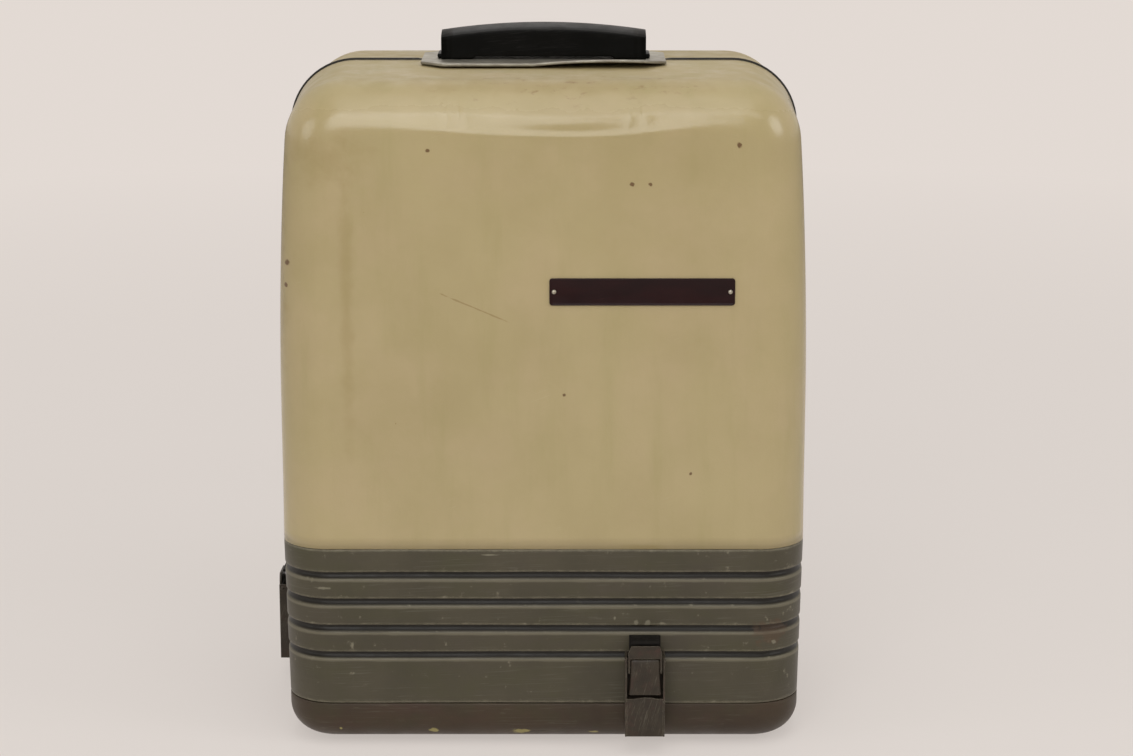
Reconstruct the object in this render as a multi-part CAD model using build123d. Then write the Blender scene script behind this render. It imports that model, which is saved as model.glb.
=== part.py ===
from build123d import *
import os
from math import atan2, cos, pi, radians, sin, sqrt, tan

# A portable film projector closed in its carrying case.
# The case is a deep cover, two pressed shells over a ribbed skirt, that lifts off a shallow
# tray. Two draw latches hold it down. The machine stands on the tray under the cover.
# Millimetres. X runs to the right of the front, Y to the back and Z up. The origin lies on
# the ground under the middle of the case, and the seam of the two shells is the plane Y = 0.
# The lens looks along +X, and the side that the operator threads faces -Y.

# Fits, named by what runs or rests in what
running_fit = 0.05
loose_fit = 0.4
seat_gap = 0.3

# Tray and feet
foot_height = 3.0
foot_radius = 10.0
foot_inset = 20.0
foot_chamfer = 1.0
sheet = 1.2
tray_height = 24.2
tray_edge_radius = 18.0
tray_edge_steps = 9

# Ribbed skirt
seam_gap = 0.4
skirt_height = 92.8
skirt_lean = 1.9
groove_count = 4
groove_first = 29.2
groove_pitch = 15.9
groove_height = 4.6
groove_depth = 2.4
groove_ledge = 0.7
skirt_flange = 9.0
rim_height = 11.0
rim_seat = 3.0

# Machine base
housing_length = 252.0
housing_depth = 156.0
housing_height = 114.0
housing_wall = 2.5
housing_corner_radius = 10.0

# Room between the machine and the case
side_room = 27.5
end_room = 24.0
head_room = 42.6

# Case shells
plan_corner_radius = 28.0
draft_angle = 2.0
straight_side = 78.0
lean_radius = 2200.0
top_corner_radius = 38.0
bead_width = 3.0
bead_proud = 1.1

# Carrying handle
handle_length = 119.0
handle_depth = 30.0
handle_height = 20.0
handle_crown_radius = 400.0
handle_dome_radius = 42.0
handle_corner_radius = 5.0
handle_arch_length = 81.0
handle_arch_height = 1.4
handle_nub = 2.4
plate_length = 142.0
plate_depth = 74.0
plate_sheet = 1.6
plate_chamfer = 13.0
leg_spacing = 100.0
leg_radius = 3.5
leg_head_radius = 6.5
leg_head_height = 3.0
leg_socket_depth = 8.0
handle_travel = 20.0

# Nameplate, bare
nameplate_length = 104.0
nameplate_height = 15.4
nameplate_sheet = 0.8
nameplate_offset = 55.7
nameplate_rise = 150.0
rivet_radius = 1.3
rivet_head = 0.6

# Draw latches
latch_offset = 58.4
side_latch_offset = 36.0
latch_width = 22.8
latch_sheet = 1.0
latch_start = 9.0
latch_rise = 32.2
latch_flange = 13.5
latch_foot_depth = 7.0
lever_length = 22.0
lever_width = 16.8
lever_foot_width = 18.7
lever_cheek = 1.2
lever_depth = 3.1
lever_taper_length = 13.0
pivot_radius = 0.7
pivot_depth = 2.05
knuckle_radius = 1.2
pivot_drop = 2.5
link_strip = 1.0
link_sheet = 1.2
link_drop = 6.0
link_reach = 9.5
link_bar = 2.5
trunnion_radius = 0.5
keeper_width = 18.0
keeper_ledge = 1.8
keeper_clearance = 0.9

# Optical axis and mechanism plate
optic_rise = 97.0
optic_offset = 26.0
mech_plate_left = 12.0
mech_plate_length = 112.0
mech_plate_height = 212.0
mech_plate_sheet = 5.0
mech_plate_corner_radius = 11.0

# Main shaft, motor and blower
drive_x = 62.0
drive_y = 20.0
shaft_radius = 4.0
motor_radius = 32.0
motor_height = 62.0
motor_corner_radius = 10.0
fan_radius = 33.0
fan_height = 18.0
fan_blades = 10
fan_hub_radius = 8.0
fan_drop = 8.0
shaft_end = 3.0
worm_radius = 9.4
worm_length = 26.0
worm_thread = 1.8
worm_pitch = 4.4
worm_crest = 2.2
mesh_gap = 0.4
knob_radius = 13.0
knob_height = 16.0
knob_flutes = 12
flute_radius = 2.0
flute_depth = 1.0

# Gear case
gear_case_wall = 2.0
gear_case_depth = 41.0
gear_case_left = 18.0
gear_case_corner_radius = 8.0

# Shutter
shutter_x = 8.0
shutter_radius = 56.0
shutter_sheet = 1.2
shutter_blade_angle = 100.0
shutter_web_radius = 25.0
shutter_room = 2.0
shutter_case_width = 18.0
mitre_radius = 11.0
mitre_face = 6.0
mitre_teeth = 16
mitre_tooth_depth = 1.4
mitre_hub_radius = 6.6

# Sprockets, their worm wheels, shoes and rollers
film_width = 16.0
sprocket_rise = 77.0
sprocket_teeth = 12
sprocket_radius = 14.2
sprocket_tooth = 1.2
sprocket_land = 4.0
waist_land = 2.0
wheel_radius = 14.2
wheel_tooth_depth = 2.6
wheel_width = 8.0
shoe_gap = 3.0
shoe_sheet = 3.0
shoe_pivot_reach = 30.0
shoe_pin_radius = 3.0
shoe_start_angle = 15.0
roller_radius = 7.0
roller_pin_radius = 2.5
roller_x = 4.0
roller_rise = 64.0

# Gate and lens
gate_x = 24.0
gate_sheet = 2.0
gate_height = 72.0
aperture_width = 10.4
aperture_height = 7.6
film_gap = 0.5
pressure_sheet = 2.0
pressure_height = 52.0
pressure_window_radius = 7.0
pressure_stem_radius = 2.0
pressure_stem_length = 14.0
pressure_travel = 1.5
carrier_x = 44.0
carrier_length = 30.0
carrier_depth = 40.0
carrier_height = 68.0
carrier_travel = 8.0
rod_radius = 3.0
rod_offset = 27.0
rod_end_length = 4.0
lens_radius = 16.0
lens_length = 74.0
lens_bore = 13.0
lens_glass_sheet = 5.0
lens_front_radius = 19.0
lens_front_length = 12.0
focus_travel = 10.0
focus_slot_depth = 1.5
focus_chamfer = 0.9
focus_knob_radius = 11.0
focus_knob_height = 10.0
focus_pin_radius = 2.5

# Lamp house
lamp_house_length = 72.0
lamp_house_depth = 72.0
lamp_house_height = 182.0
lamp_house_x = -98.0
lamp_house_sheet = 1.2
lamp_house_corner_radius = 7.2
condenser_radius = 20.0
condenser_reach = 24.0
condenser_lens_sheet = 8.0
vent_slots = 5
vent_width = 4.0
vent_margin = 16.0
door_height = 130.0
door_width = 41.0
door_rise = 26.0
door_sheet = 1.5
door_pin_radius = 1.5
door_knuckle_radius = 3.0
door_ear_height = 4.8
lamp_radius = 15.0
lamp_dome_radius = 12.0
lamp_base_radius = 12.0
lamp_base_height = 26.0
socket_radius = 17.0
socket_height = 22.0
lamp_tip_rise = 40.0
reflector_radius = 24.0
reflector_curve = 46.0
reflector_sheet = 1.5
reflector_gap = 4.0

# Controls on the base
panel_length = 196.0
panel_height = 64.0
panel_sheet = 1.5
panel_rise = 30.0
switch_spacing = 34.0
switch_x = -72.0
switch_radius = 3.0
switch_length = 10.0
switch_ball = 3.6
switch_pin_radius = 0.8
bush_radius = 6.0
bush_length = 4.0
speed_x = 52.0
speed_radius = 15.0
speed_length = 12.0
inlet_radius = 14.0
inlet_length = 18.0
inlet_pin_radius = 2.0
inlet_pin_length = 12.0
inlet_pin_spacing = 12.0

# Stowed reel arms
arm_width = 20.0
arm_sheet = 5.0
arm_length = 196.0
arm_x = -86.0
arm_spacing = 40.0
arm_y = 34.0
arm_pocket_depth = 24.0
arm_pocket_wall = 4.0
spindle_radius = 4.0
spindle_length = 44.0
spindle_hub_radius = 9.0
spindle_hub_length = 6.0

# Levels and planes that follow from the sizes
tray_floor = foot_height + sheet
tray_top = foot_height + tray_height
skirt_bottom = tray_top + seam_gap
skirt_top = skirt_bottom + skirt_height
housing_top = tray_floor + housing_height
optic_z = housing_top + optic_rise
mech_top = housing_top + mech_plate_height
knob_bottom = mech_top + loose_fit
case_top = knob_bottom + knob_height + head_room
case_width = housing_length + 2 * side_room
case_depth = housing_depth + 2 * end_room
side_slope = tan(radians(draft_angle))
film_y = -optic_offset
sprocket_x = drive_x - worm_radius - wheel_radius - mesh_gap
sprocket_levels = [("upper", optic_z + sprocket_rise, 1), ("lower", optic_z - sprocket_rise, -1)]

pieces = {}


def block(x0, x1, y0, y1, z0, z1):
    """A box given by its faces."""
    return Pos((x0 + x1) / 2, (y0 + y1) / 2, (z0 + z1) / 2) * Box(x1 - x0, y1 - y0, z1 - z0)


def rod_x(radius, x0, x1, y, z):
    """A round bar along X."""
    return Pos((x0 + x1) / 2, y, z) * Rot(0, 90, 0) * Cylinder(radius, x1 - x0)


def rod_y(radius, y0, y1, x, z):
    """A round bar along Y."""
    return Pos(x, (y0 + y1) / 2, z) * Rot(90, 0, 0) * Cylinder(radius, y1 - y0)


def rod_z(radius, z0, z1, x, y):
    """A round bar along Z."""
    return Pos(x, y, (z0 + z1) / 2) * Cylinder(radius, z1 - z0)


def half_width(y):
    """Half the width of the case below its leaning sides, at a distance from the seam."""
    return case_width / 2 - max(abs(y) - bead_width / 2, 0) * side_slope


def side_lean(z):
    """How far the sides lean in at a height: not above the skirt, and most from its bottom down."""
    return skirt_lean * min(1, max(0, (skirt_top - z) / skirt_height))


def plan_face(inset, z):
    """The case seen from above, a rounded rectangle widest at the seam, inset all round."""
    front = case_depth / 2 - inset
    seam = bead_width / 2
    wide = case_width / 2 - inset - side_lean(z)
    narrow = half_width(front + inset) - inset + side_slope * inset - side_lean(z)
    corners = [(wide, -seam), (wide, seam), (narrow, front), (-narrow, front)]
    corners += [(-wide, seam), (-wide, -seam), (-narrow, -front), (narrow, -front)]
    face = make_face(Polyline(*corners, close=True))
    outer = face.vertices().filter_by(lambda v: abs(v.Y) > front / 2)
    return Pos(0, 0, z) * fillet(outer, plan_corner_radius - inset)


def pan_block(inset):
    """The tray as a full block, its lower edge rounded by sections along a quarter turn."""
    radius = tray_edge_radius - inset
    sections = []
    for step in range(tray_edge_steps + 1):
        turn = pi / 2 * step / tray_edge_steps
        level = foot_height + tray_edge_radius - radius * cos(turn)
        sections.append(plan_face(inset + radius * (1 - sin(turn)), level))
    sections.append(plan_face(inset, tray_top))
    return loft(sections, ruled=True)


def case_outline(inset):
    """The case seen from the front, with leaning sides, round top corners and a flat top.

    It starts well below the top of the skirt, where the shells are cut off.
    """
    half = case_width / 2 - inset
    lean = lean_radius - inset
    corner = top_corner_radius - inset
    lean_z = skirt_top + straight_side
    corner_z = case_top - top_corner_radius
    lean_x = half - lean
    rise = corner_z - lean_z
    run = sqrt((lean - corner) ** 2 - rise**2)
    corner_x = lean_x + run
    turn = atan2(rise, run)
    middle = (turn + pi / 2) / 2
    lean_middle = (lean_x + lean * cos(turn / 2), lean_z + lean * sin(turn / 2))
    lean_end = (lean_x + lean * cos(turn), lean_z + lean * sin(turn))
    corner_middle = (corner_x + corner * cos(middle), corner_z + corner * sin(middle))
    top = (corner_x, corner_z + corner)
    low = skirt_bottom
    edges = [Line((-half, low), (half, low)), Line((-top[0], top[1]), top)]
    for side in (-1, 1):
        foot = (side * half, low)
        knee = (side * half, lean_z)
        shoulder = (side * lean_end[0], lean_end[1])
        edges.append(Line(foot, knee))
        edges.append(ThreePointArc(knee, (side * lean_middle[0], lean_middle[1]), shoulder))
        bend = (side * corner_middle[0], corner_middle[1])
        edges.append(ThreePointArc(shoulder, bend, (side * top[0], top[1])))
    return Plane.XZ * make_face(edges)


def half_case(side, inset):
    """One half of the case as a full block, drafted away from the seam, its far edge rounded."""
    seam = bead_width / 2
    end = case_depth / 2 - inset
    near = Pos(0, side * seam, 0) * case_outline(inset)
    drawn_in = (end - seam) * side_slope
    body = loft([near, Pos(0, side * end, 0) * case_outline(inset + drawn_in)], ruled=True)
    far = body.faces().sort_by(Axis.Y)[0 if side < 0 else -1]
    rounded = far.edges().sort_by(Axis.Z)[1:]
    body = fillet(rounded, plan_corner_radius - inset)
    return body - block(-case_width, case_width, -case_depth, case_depth, 0, skirt_top)


def skirt_block(inset):
    """The skirt as a full block: sections stacked through its grooves, each inset alike.

    Each groove has a nearly flat upper side and a long sloping lower side.
    """
    levels = [(skirt_bottom, 0)]
    for turn in range(groove_count):
        middle = skirt_bottom + groove_first + turn * groove_pitch
        levels.append((middle - groove_height / 2, 0))
        levels.append((middle + groove_height / 2 - groove_ledge, groove_depth))
        levels.append((middle + groove_height / 2, 0))
    levels.append((skirt_top, 0))
    return loft([plan_face(inset + depth, z) for z, depth in levels], ruled=True)


def plan_ring(outer, inner, z0, z1):
    """A band that follows the plan of the case between two insets."""
    return extrude(plan_face(outer, z0) - plan_face(inner, z0), amount=z1 - z0)


def leg_places():
    """Where the two handle legs stand."""
    return [side * leg_spacing / 2 for side in (-1, 1)]


def make_tray():
    """The pressed tray, its four feet and the rim that the cover drops over."""
    outer = pan_block(0)
    pieces["base_tray"] = outer - pan_block(sheet)
    feet = []
    for x_side in (-1, 1):
        for y_side in (-1, 1):
            x = x_side * (case_width / 2 - tray_edge_radius - foot_inset)
            y = y_side * (case_depth / 2 - tray_edge_radius - foot_inset)
            foot = rod_z(foot_radius, 0, foot_height, x, y)
            feet.append(chamfer(foot.edges().sort_by(Axis.Z)[0], foot_chamfer))
    pieces["rubber_feet"] = feet
    seat = plan_ring(sheet, 2 * sheet + loose_fit, tray_top - rim_seat, tray_top)
    upstand = plan_ring(sheet + loose_fit, 2 * sheet + loose_fit, tray_top, tray_top + rim_height)
    pieces["locating_rim"] = seat + upstand
    return outer


def make_cover():
    """The two shells, the bead between them and the skirt below, with the nameplate."""
    legs = [rod_z(leg_radius + loose_fit, skirt_top, case_top + plate_sheet, x, 0) for x in leg_places()]
    for side, name in ((-1, "front_shell"), (1, "rear_shell")):
        pieces[name] = half_case(side, 0) - half_case(side, sheet) - legs
    ring = case_outline(-bead_proud) - case_outline(sheet)
    bead = extrude(Pos(0, bead_width / 2, 0) * ring, amount=bead_width, dir=(0, -1, 0))
    below = block(-case_width, case_width, -bead_width, bead_width, 0, skirt_top)
    under_plate = plate_length / 2 + loose_fit
    notch = block(-under_plate, under_plate, -bead_width, bead_width, case_top, case_top + 2 * bead_proud)
    between = leg_spacing / 2 + leg_radius + loose_fit
    gap = block(-between, between, -bead_width, bead_width, skirt_top, case_top)
    pieces["seam_bead"] = bead - below - notch - gap
    root = plan_ring(sheet / 2, 2 * sheet, skirt_top, skirt_top - skirt_flange)
    flange = plan_ring(sheet, 2 * sheet, skirt_top, skirt_top + skirt_flange)
    pieces["skirt"] = skirt_block(0) - skirt_block(sheet) + root + flange
    front = -case_depth / 2
    plate_z = skirt_top + nameplate_rise
    plate = block(-nameplate_length / 2, nameplate_length / 2, front - nameplate_sheet, front,
                  plate_z - nameplate_height / 2, plate_z + nameplate_height / 2)
    plate = Pos(nameplate_offset, 0, 0) * fillet(plate.edges().filter_by(Axis.Y), nameplate_sheet)
    pieces["nameplate"] = plate
    rivets = []
    for side in (-1, 1):
        x = nameplate_offset + side * (nameplate_length / 2 - 2 * rivet_radius)
        outside = front - nameplate_sheet
        rivets.append(rod_y(rivet_radius, outside - rivet_head, outside, x, plate_z))
    pieces["nameplate_rivets"] = rivets


def make_handle():
    """The sheet metal plate over the seam and the grip that rises on two headed legs."""
    plate_top = case_top + plate_sheet
    plate = block(-plate_length / 2, plate_length / 2, -plate_depth / 2, plate_depth / 2, case_top, plate_top)
    plate = chamfer(plate.edges().filter_by(Axis.Z), plate_chamfer)
    for x in leg_places():
        plate -= rod_z(leg_radius + loose_fit, case_top, plate_top, x, 0)
    pieces["handle_plate"] = plate
    bottom = plate_top + seat_gap
    top = bottom + handle_height
    half = handle_length / 2
    grip = block(-half, half, -handle_depth / 2, handle_depth / 2, bottom, top)
    grip = fillet(grip.edges().filter_by(Axis.Z), handle_corner_radius)
    grip &= rod_y(handle_crown_radius, -handle_depth, handle_depth, 0, top - handle_crown_radius)
    grip &= rod_x(handle_dome_radius, -handle_length, handle_length, 0, top - handle_dome_radius)
    arch = handle_arch_length / 2
    grip -= block(-arch, arch, -handle_depth, handle_depth, bottom, bottom + handle_arch_height)
    nub_y = handle_depth / 2 - handle_corner_radius
    for side in (-1, 1):
        inner = side * (half - handle_corner_radius)
        outer = side * (half + handle_nub)
        grip += block(min(inner, outer), max(inner, outer), -nub_y, nub_y, bottom, bottom + handle_nub)
    socket_top = bottom + leg_socket_depth
    for x in leg_places():
        grip -= rod_z(leg_radius, bottom, socket_top, x, 0)
    pieces["handle_grip"] = grip
    head_top = case_top - sheet - handle_travel - seat_gap
    legs = []
    for x in leg_places():
        leg = rod_z(leg_radius, head_top - leg_head_height, socket_top, x, 0)
        legs.append(leg + rod_z(leg_head_radius, head_top - leg_head_height, head_top, x, 0))
    pieces["handle_legs"] = legs


def latch_pieces():
    """A draw latch drawn as on the front of the case, about X = 0 with its wall at Y = 0.

    The channel stands on the tray and reaches up past the seam, closed in front below the
    lever. The lever hangs from two stub pivots in its flanges. A bail, hung on the lever,
    reaches up to the keeper.
    """
    half = latch_width / 2
    back = -loose_fit - latch_sheet
    face = back - latch_flange + latch_sheet
    low = foot_height + latch_start
    top = skirt_bottom + latch_rise
    pivot_z = top - pivot_drop
    pivot_y = face + pivot_depth
    lever_bottom = pivot_z - lever_length
    channel = block(-half, half, back, -loose_fit, low, top)
    channel += block(-half, half, face, face + latch_sheet, low, lever_bottom - loose_fit)
    for side in (-1, 1):
        edge = sorted((side * half, side * (half - latch_sheet)))
        channel += block(*edge, face, back, low, top)
        stub = sorted((side * (half - latch_sheet), side * (lever_width / 2 - lever_cheek)))
        channel += rod_x(pivot_radius, *stub, pivot_y, pivot_z)
    foot = block(-half, half, back, latch_foot_depth, low, tray_top - seam_gap)

    neck = lever_bottom + lever_taper_length
    outline = [(lever_foot_width / 2, lever_bottom), (lever_width / 2, neck), (lever_width / 2, pivot_z)]
    outline += [(-x, z) for x, z in reversed(outline)]
    plate = extrude(Plane.XZ * make_face(Polyline(*outline, close=True)), amount=lever_cheek)
    lever = Pos(0, face + lever_cheek, 0) * plate
    lip = block(-lever_width / 2, lever_width / 2, face - lever_cheek / 2, face, lever_bottom,
                lever_bottom + lever_cheek)
    lever += lip
    cheek_back = min(face + lever_depth, back - running_fit)
    for side in (-1, 1):
        edge = sorted((side * lever_width / 2, side * (lever_width / 2 - lever_cheek)))
        lever += block(*edge, face, cheek_back, lever_bottom + lever_cheek, pivot_z)
        lever += rod_x(knuckle_radius, *edge, pivot_y, pivot_z)
    lever -= rod_x(pivot_radius + running_fit, -half, half, pivot_y, pivot_z)
    link_y = face + link_sheet / 2 + trunnion_radius / 2
    link_z = pivot_z - link_drop
    lever -= rod_x(trunnion_radius + running_fit, -half, half, link_y, link_z)

    strip_in = lever_width / 2 + seat_gap
    strip_out = strip_in + link_strip
    link_top = pivot_z + link_reach
    link = block(-strip_out, strip_out, face, face + link_sheet, link_top - link_bar, link_top)
    for side in (-1, 1):
        edge = sorted((side * strip_in, side * strip_out))
        link += block(*edge, face, face + link_sheet, link_z - 2 * trunnion_radius, link_top)
        link += rod_x(link_sheet / 2, *edge, face + link_sheet / 2, link_z)
        pin = sorted((side * (lever_width / 2 - lever_cheek), side * strip_out))
        link += rod_x(trunnion_radius, *pin, link_y, link_z)

    ledge_z = link_top + loose_fit
    keeper_top = ledge_z + keeper_ledge
    keeper = block(-keeper_width / 2, keeper_width / 2, -latch_sheet, 0, top + loose_fit, keeper_top)
    keeper += block(-keeper_width / 2 + latch_sheet, keeper_width / 2 - latch_sheet,
                    face + link_sheet + keeper_clearance, -latch_sheet, ledge_z, keeper_top)
    return channel, foot, lever, link, keeper


def make_latches(tray_block):
    """One latch right of the middle in front, the other on the left side towards the back."""
    channel, foot, lever, link, keeper = latch_pieces()
    side_angle = -90 - draft_angle
    side_wall = half_width(side_latch_offset) - side_lean(keeper.bounding_box().max.Z)
    places = {
        "front": Pos(latch_offset, -case_depth / 2, 0),
        "side": Pos(-side_wall, side_latch_offset, 0) * Rot(0, 0, side_angle),
    }
    keepers = []
    for name, place in places.items():
        pieces[name + "_latch_channel"] = place * channel + (place * foot - tray_block)
        pieces[name + "_latch_lever"] = place * lever
        pieces[name + "_latch_link"] = place * link
        keepers.append(place * keeper)
    pieces["latch_keepers"] = keepers


def make_base():
    """The cast base, open below, with the motor under its top and its control panel."""
    half_x = housing_length / 2
    half_y = housing_depth / 2
    wall = housing_wall
    body = block(-half_x, half_x, -half_y, half_y, tray_floor, housing_top)
    body = fillet(body.edges().filter_by(Axis.Z), housing_corner_radius)
    inner_x = half_x - wall
    inner_y = half_y - wall
    body -= block(-inner_x, inner_x, -inner_y, inner_y, tray_floor, housing_top - wall)
    pocket_x = arm_width / 2 + arm_pocket_wall
    pocket_y = arm_sheet / 2 + arm_pocket_wall
    pocket_top = housing_top + arm_pocket_depth
    for place in range(2):
        x = arm_x + place * arm_spacing
        body += block(x - pocket_x, x + pocket_x, arm_y - pocket_y, arm_y + pocket_y, housing_top, pocket_top)
    for place in range(2):
        x = arm_x + place * arm_spacing
        slot_x = arm_width / 2 + seat_gap
        slot_y = arm_sheet / 2 + seat_gap
        body -= block(x - slot_x, x + slot_x, arm_y - slot_y, arm_y + slot_y, housing_top, pocket_top)
    body -= rod_z(shaft_radius + running_fit, housing_top - wall, housing_top, drive_x, drive_y)
    lamp_x = lamp_house_x + lamp_house_length / 2
    air = socket_radius + lamp_radius / 2
    ring = rod_z(air, housing_top - wall, housing_top, lamp_x, film_y)
    ring -= rod_z(socket_radius, housing_top - wall, housing_top, lamp_x, film_y)
    bridge = lamp_house_length / 2
    ring -= block(lamp_x - bridge, lamp_x + bridge, film_y - wall, film_y + wall, tray_floor, housing_top)
    body -= ring

    front = -half_y
    panel_z = tray_floor + panel_rise
    panel = block(-panel_length / 2, panel_length / 2, front - panel_sheet, front, panel_z,
                  panel_z + panel_height)
    panel = fillet(panel.edges().filter_by(Axis.Y), 2 * wall)
    face = front - panel_sheet
    middle = panel_z + panel_height / 2
    for place, name in enumerate(("lamp_switch", "motor_switch")):
        x = switch_x + place * switch_spacing
        bush = rod_y(bush_radius, face - bush_length, face, x, middle)
        bush -= rod_y(switch_radius + loose_fit, face - bush_length, face, x, middle)
        panel += bush
        panel -= rod_y(switch_radius + seat_gap, face - bush_length, front, x, middle)
        pivot = face - bush_length / 2
        tip = face - bush_length - switch_length
        pin_end = switch_radius + 2 * running_fit
        lever = Pos(x, pivot, middle) * Sphere(switch_radius)
        lever += rod_x(switch_pin_radius, x - pin_end, x + pin_end, pivot, middle)
        lever += rod_y(switch_radius / 2, tip, pivot, x, middle)
        pieces[name] = lever + Pos(x, tip, middle) * Sphere(switch_ball)
    panel -= rod_y(shaft_radius + running_fit, face, front, speed_x, middle)
    body -= rod_y(shaft_radius + running_fit, front, front + wall, speed_x, middle)
    knob = rod_y(speed_radius, face - seat_gap - speed_length, face - seat_gap, speed_x, middle)
    for turn in range(knob_flutes):
        angle = 2 * pi * turn / knob_flutes
        reach = speed_radius + flute_radius - flute_depth
        x = speed_x + reach * cos(angle)
        z = middle + reach * sin(angle)
        knob -= rod_y(flute_radius, face - seat_gap - speed_length, face - seat_gap, x, z)
    pieces["speed_knob"] = knob + rod_y(shaft_radius, face - seat_gap, front + 2 * wall, speed_x, middle)
    pieces["control_panel"] = panel

    inlet_z = tray_floor + housing_height / 2
    body -= rod_x(inlet_radius - wall, half_x - wall, half_x, 0, inlet_z)
    pins = []
    cup = rod_x(inlet_radius, half_x, half_x + wall, 0, inlet_z)
    cup += rod_x(inlet_radius - wall, half_x - inlet_length, half_x, 0, inlet_z)
    cup -= rod_x(inlet_radius - 2 * wall, half_x - inlet_length + wall, half_x + wall, 0, inlet_z)
    for side in (-1, 1):
        y = side * inlet_pin_spacing / 2
        pin_end = half_x - inlet_length + wall + inlet_pin_length
        pins.append(rod_x(inlet_pin_radius, half_x - inlet_length, pin_end, y, inlet_z))
    pieces["power_inlet"] = cup - pins
    pieces["inlet_pins"] = pins

    motor_top = housing_top - wall
    motor = rod_z(motor_radius, motor_top - motor_height, motor_top, drive_x, drive_y)
    motor = fillet(motor.edges().sort_by(Axis.Z)[0], motor_corner_radius)
    motor -= rod_z(shaft_radius + running_fit, motor_top - motor_height, motor_top, drive_x, drive_y)
    pieces["motor"] = motor
    pieces["base_housing"] = body
    return motor_top - motor_height


def make_drive(motor_bottom):
    """The upright main shaft with its blower fan, worms, mitre gear and turning knob."""
    fan_top = motor_bottom - fan_drop
    fan_bottom = fan_top - fan_height
    shaft_bottom = fan_bottom - shaft_end
    grip = knob_height / 2
    pieces["main_shaft"] = rod_z(shaft_radius, shaft_bottom, knob_bottom + grip, drive_x, drive_y)
    fan = rod_z(fan_radius, fan_top - sheet, fan_top, 0, 0) + rod_z(fan_hub_radius, fan_bottom, fan_top, 0, 0)
    for turn in range(fan_blades):
        blade = block(fan_hub_radius - sheet, fan_radius, -sheet / 2, sheet / 2, fan_bottom, fan_top - sheet)
        fan += Rot(0, 0, 360 * turn / fan_blades) * blade
    fan -= rod_z(shaft_radius, fan_bottom, fan_top, 0, 0)
    pieces["blower_fan"] = Pos(drive_x, drive_y, 0) * fan
    worms = []
    for name, z, side in sprocket_levels:
        worm = rod_z(worm_radius - worm_thread, z - worm_length / 2, z + worm_length / 2, drive_x, drive_y)
        turns = int(worm_length / worm_pitch)
        first = z - (turns - 1) * worm_pitch / 2
        for turn in range(turns):
            middle = first + turn * worm_pitch
            worm += rod_z(worm_radius, middle - worm_crest / 2, middle + worm_crest / 2, drive_x, drive_y)
        worms.append(worm - rod_z(shaft_radius, z - worm_length / 2, z + worm_length / 2, drive_x, drive_y))
    pieces["drive_worms"] = worms
    knob = rod_z(knob_radius, knob_bottom, knob_bottom + knob_height, 0, 0)
    for turn in range(knob_flutes):
        angle = 2 * pi * turn / knob_flutes
        reach = knob_radius + flute_radius - flute_depth
        x = reach * cos(angle)
        y = reach * sin(angle)
        knob -= rod_z(flute_radius, knob_bottom, knob_bottom + knob_height, x, y)
    knob -= rod_z(shaft_radius, knob_bottom, knob_bottom + grip, 0, 0)
    pieces["inching_knob"] = Pos(drive_x, drive_y, 0) * knob


def mitre_gear():
    """A mitre gear about Z whose pitch cone has its point at the origin above it."""
    height = mitre_face * sin(pi / 4)
    gap = mesh_gap / 2 / sin(pi / 4)
    cone = Cone(mitre_radius, mitre_radius - height, height, align=(Align.CENTER, Align.CENTER, Align.MIN))
    gear = Pos(0, 0, -mitre_radius - gap) * cone
    for turn in range(mitre_teeth):
        cut = Pos(mitre_radius - height / 2, 0, height / 2) * Rot(0, -45, 0) * Box(
            2 * mitre_tooth_depth, mitre_tooth_depth, 2 * mitre_face)
        gear -= Pos(0, 0, -mitre_radius - gap) * Rot(0, 0, 360 * turn / mitre_teeth) * cut
    return gear + rod_z(mitre_hub_radius, -mitre_radius - gap - height, -mitre_radius - gap, 0, 0)


def make_shutter():
    """The shutter turns on a level shaft, driven from the main shaft by mitre gears."""
    bore = rod_z(shaft_radius, -2 * mitre_radius, mitre_radius, 0, 0)
    gear = mitre_gear()
    pieces["drive_mitre_gear"] = Pos(drive_x, drive_y, optic_z) * (gear - bore)
    tooth = 180 / mitre_teeth
    level = Pos(drive_x, drive_y, optic_z) * Rot(0, 90, 0) * Rot(0, 0, tooth) * gear
    shaft_start = shutter_x - shutter_case_width / 2
    gear_back = drive_x - mitre_radius - mesh_gap
    pieces["shutter_shaft"] = level + rod_x(shaft_radius, shaft_start, gear_back, drive_y, optic_z)
    disc = rod_x(shutter_radius, shutter_x - shutter_sheet / 2, shutter_x + shutter_sheet / 2, 0, 0)
    swing = radians(shutter_blade_angle / 2)
    far = 2 * shutter_radius
    for turn in range(2):
        wedge = Polyline((0, 0), (far * cos(swing), far * sin(swing)), (far, 0),
                         (far * cos(swing), -far * sin(swing)), close=True)
        cut = extrude(make_face(wedge), amount=2 * shutter_sheet, both=True)
        cut = Rot(0, 0, 180 * turn) * cut - Cylinder(shutter_web_radius, far)
        disc -= Pos(shutter_x, 0, 0) * Rot(0, 90, 0) * cut
    disc += rod_x(2 * shaft_radius, shutter_x - 2 * shutter_sheet, shutter_x + 2 * shutter_sheet, 0, 0)
    disc -= rod_x(shaft_radius, shutter_x - far, shutter_x + far, 0, 0)
    pieces["shutter_disc"] = Pos(0, drive_y, optic_z) * disc


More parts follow.
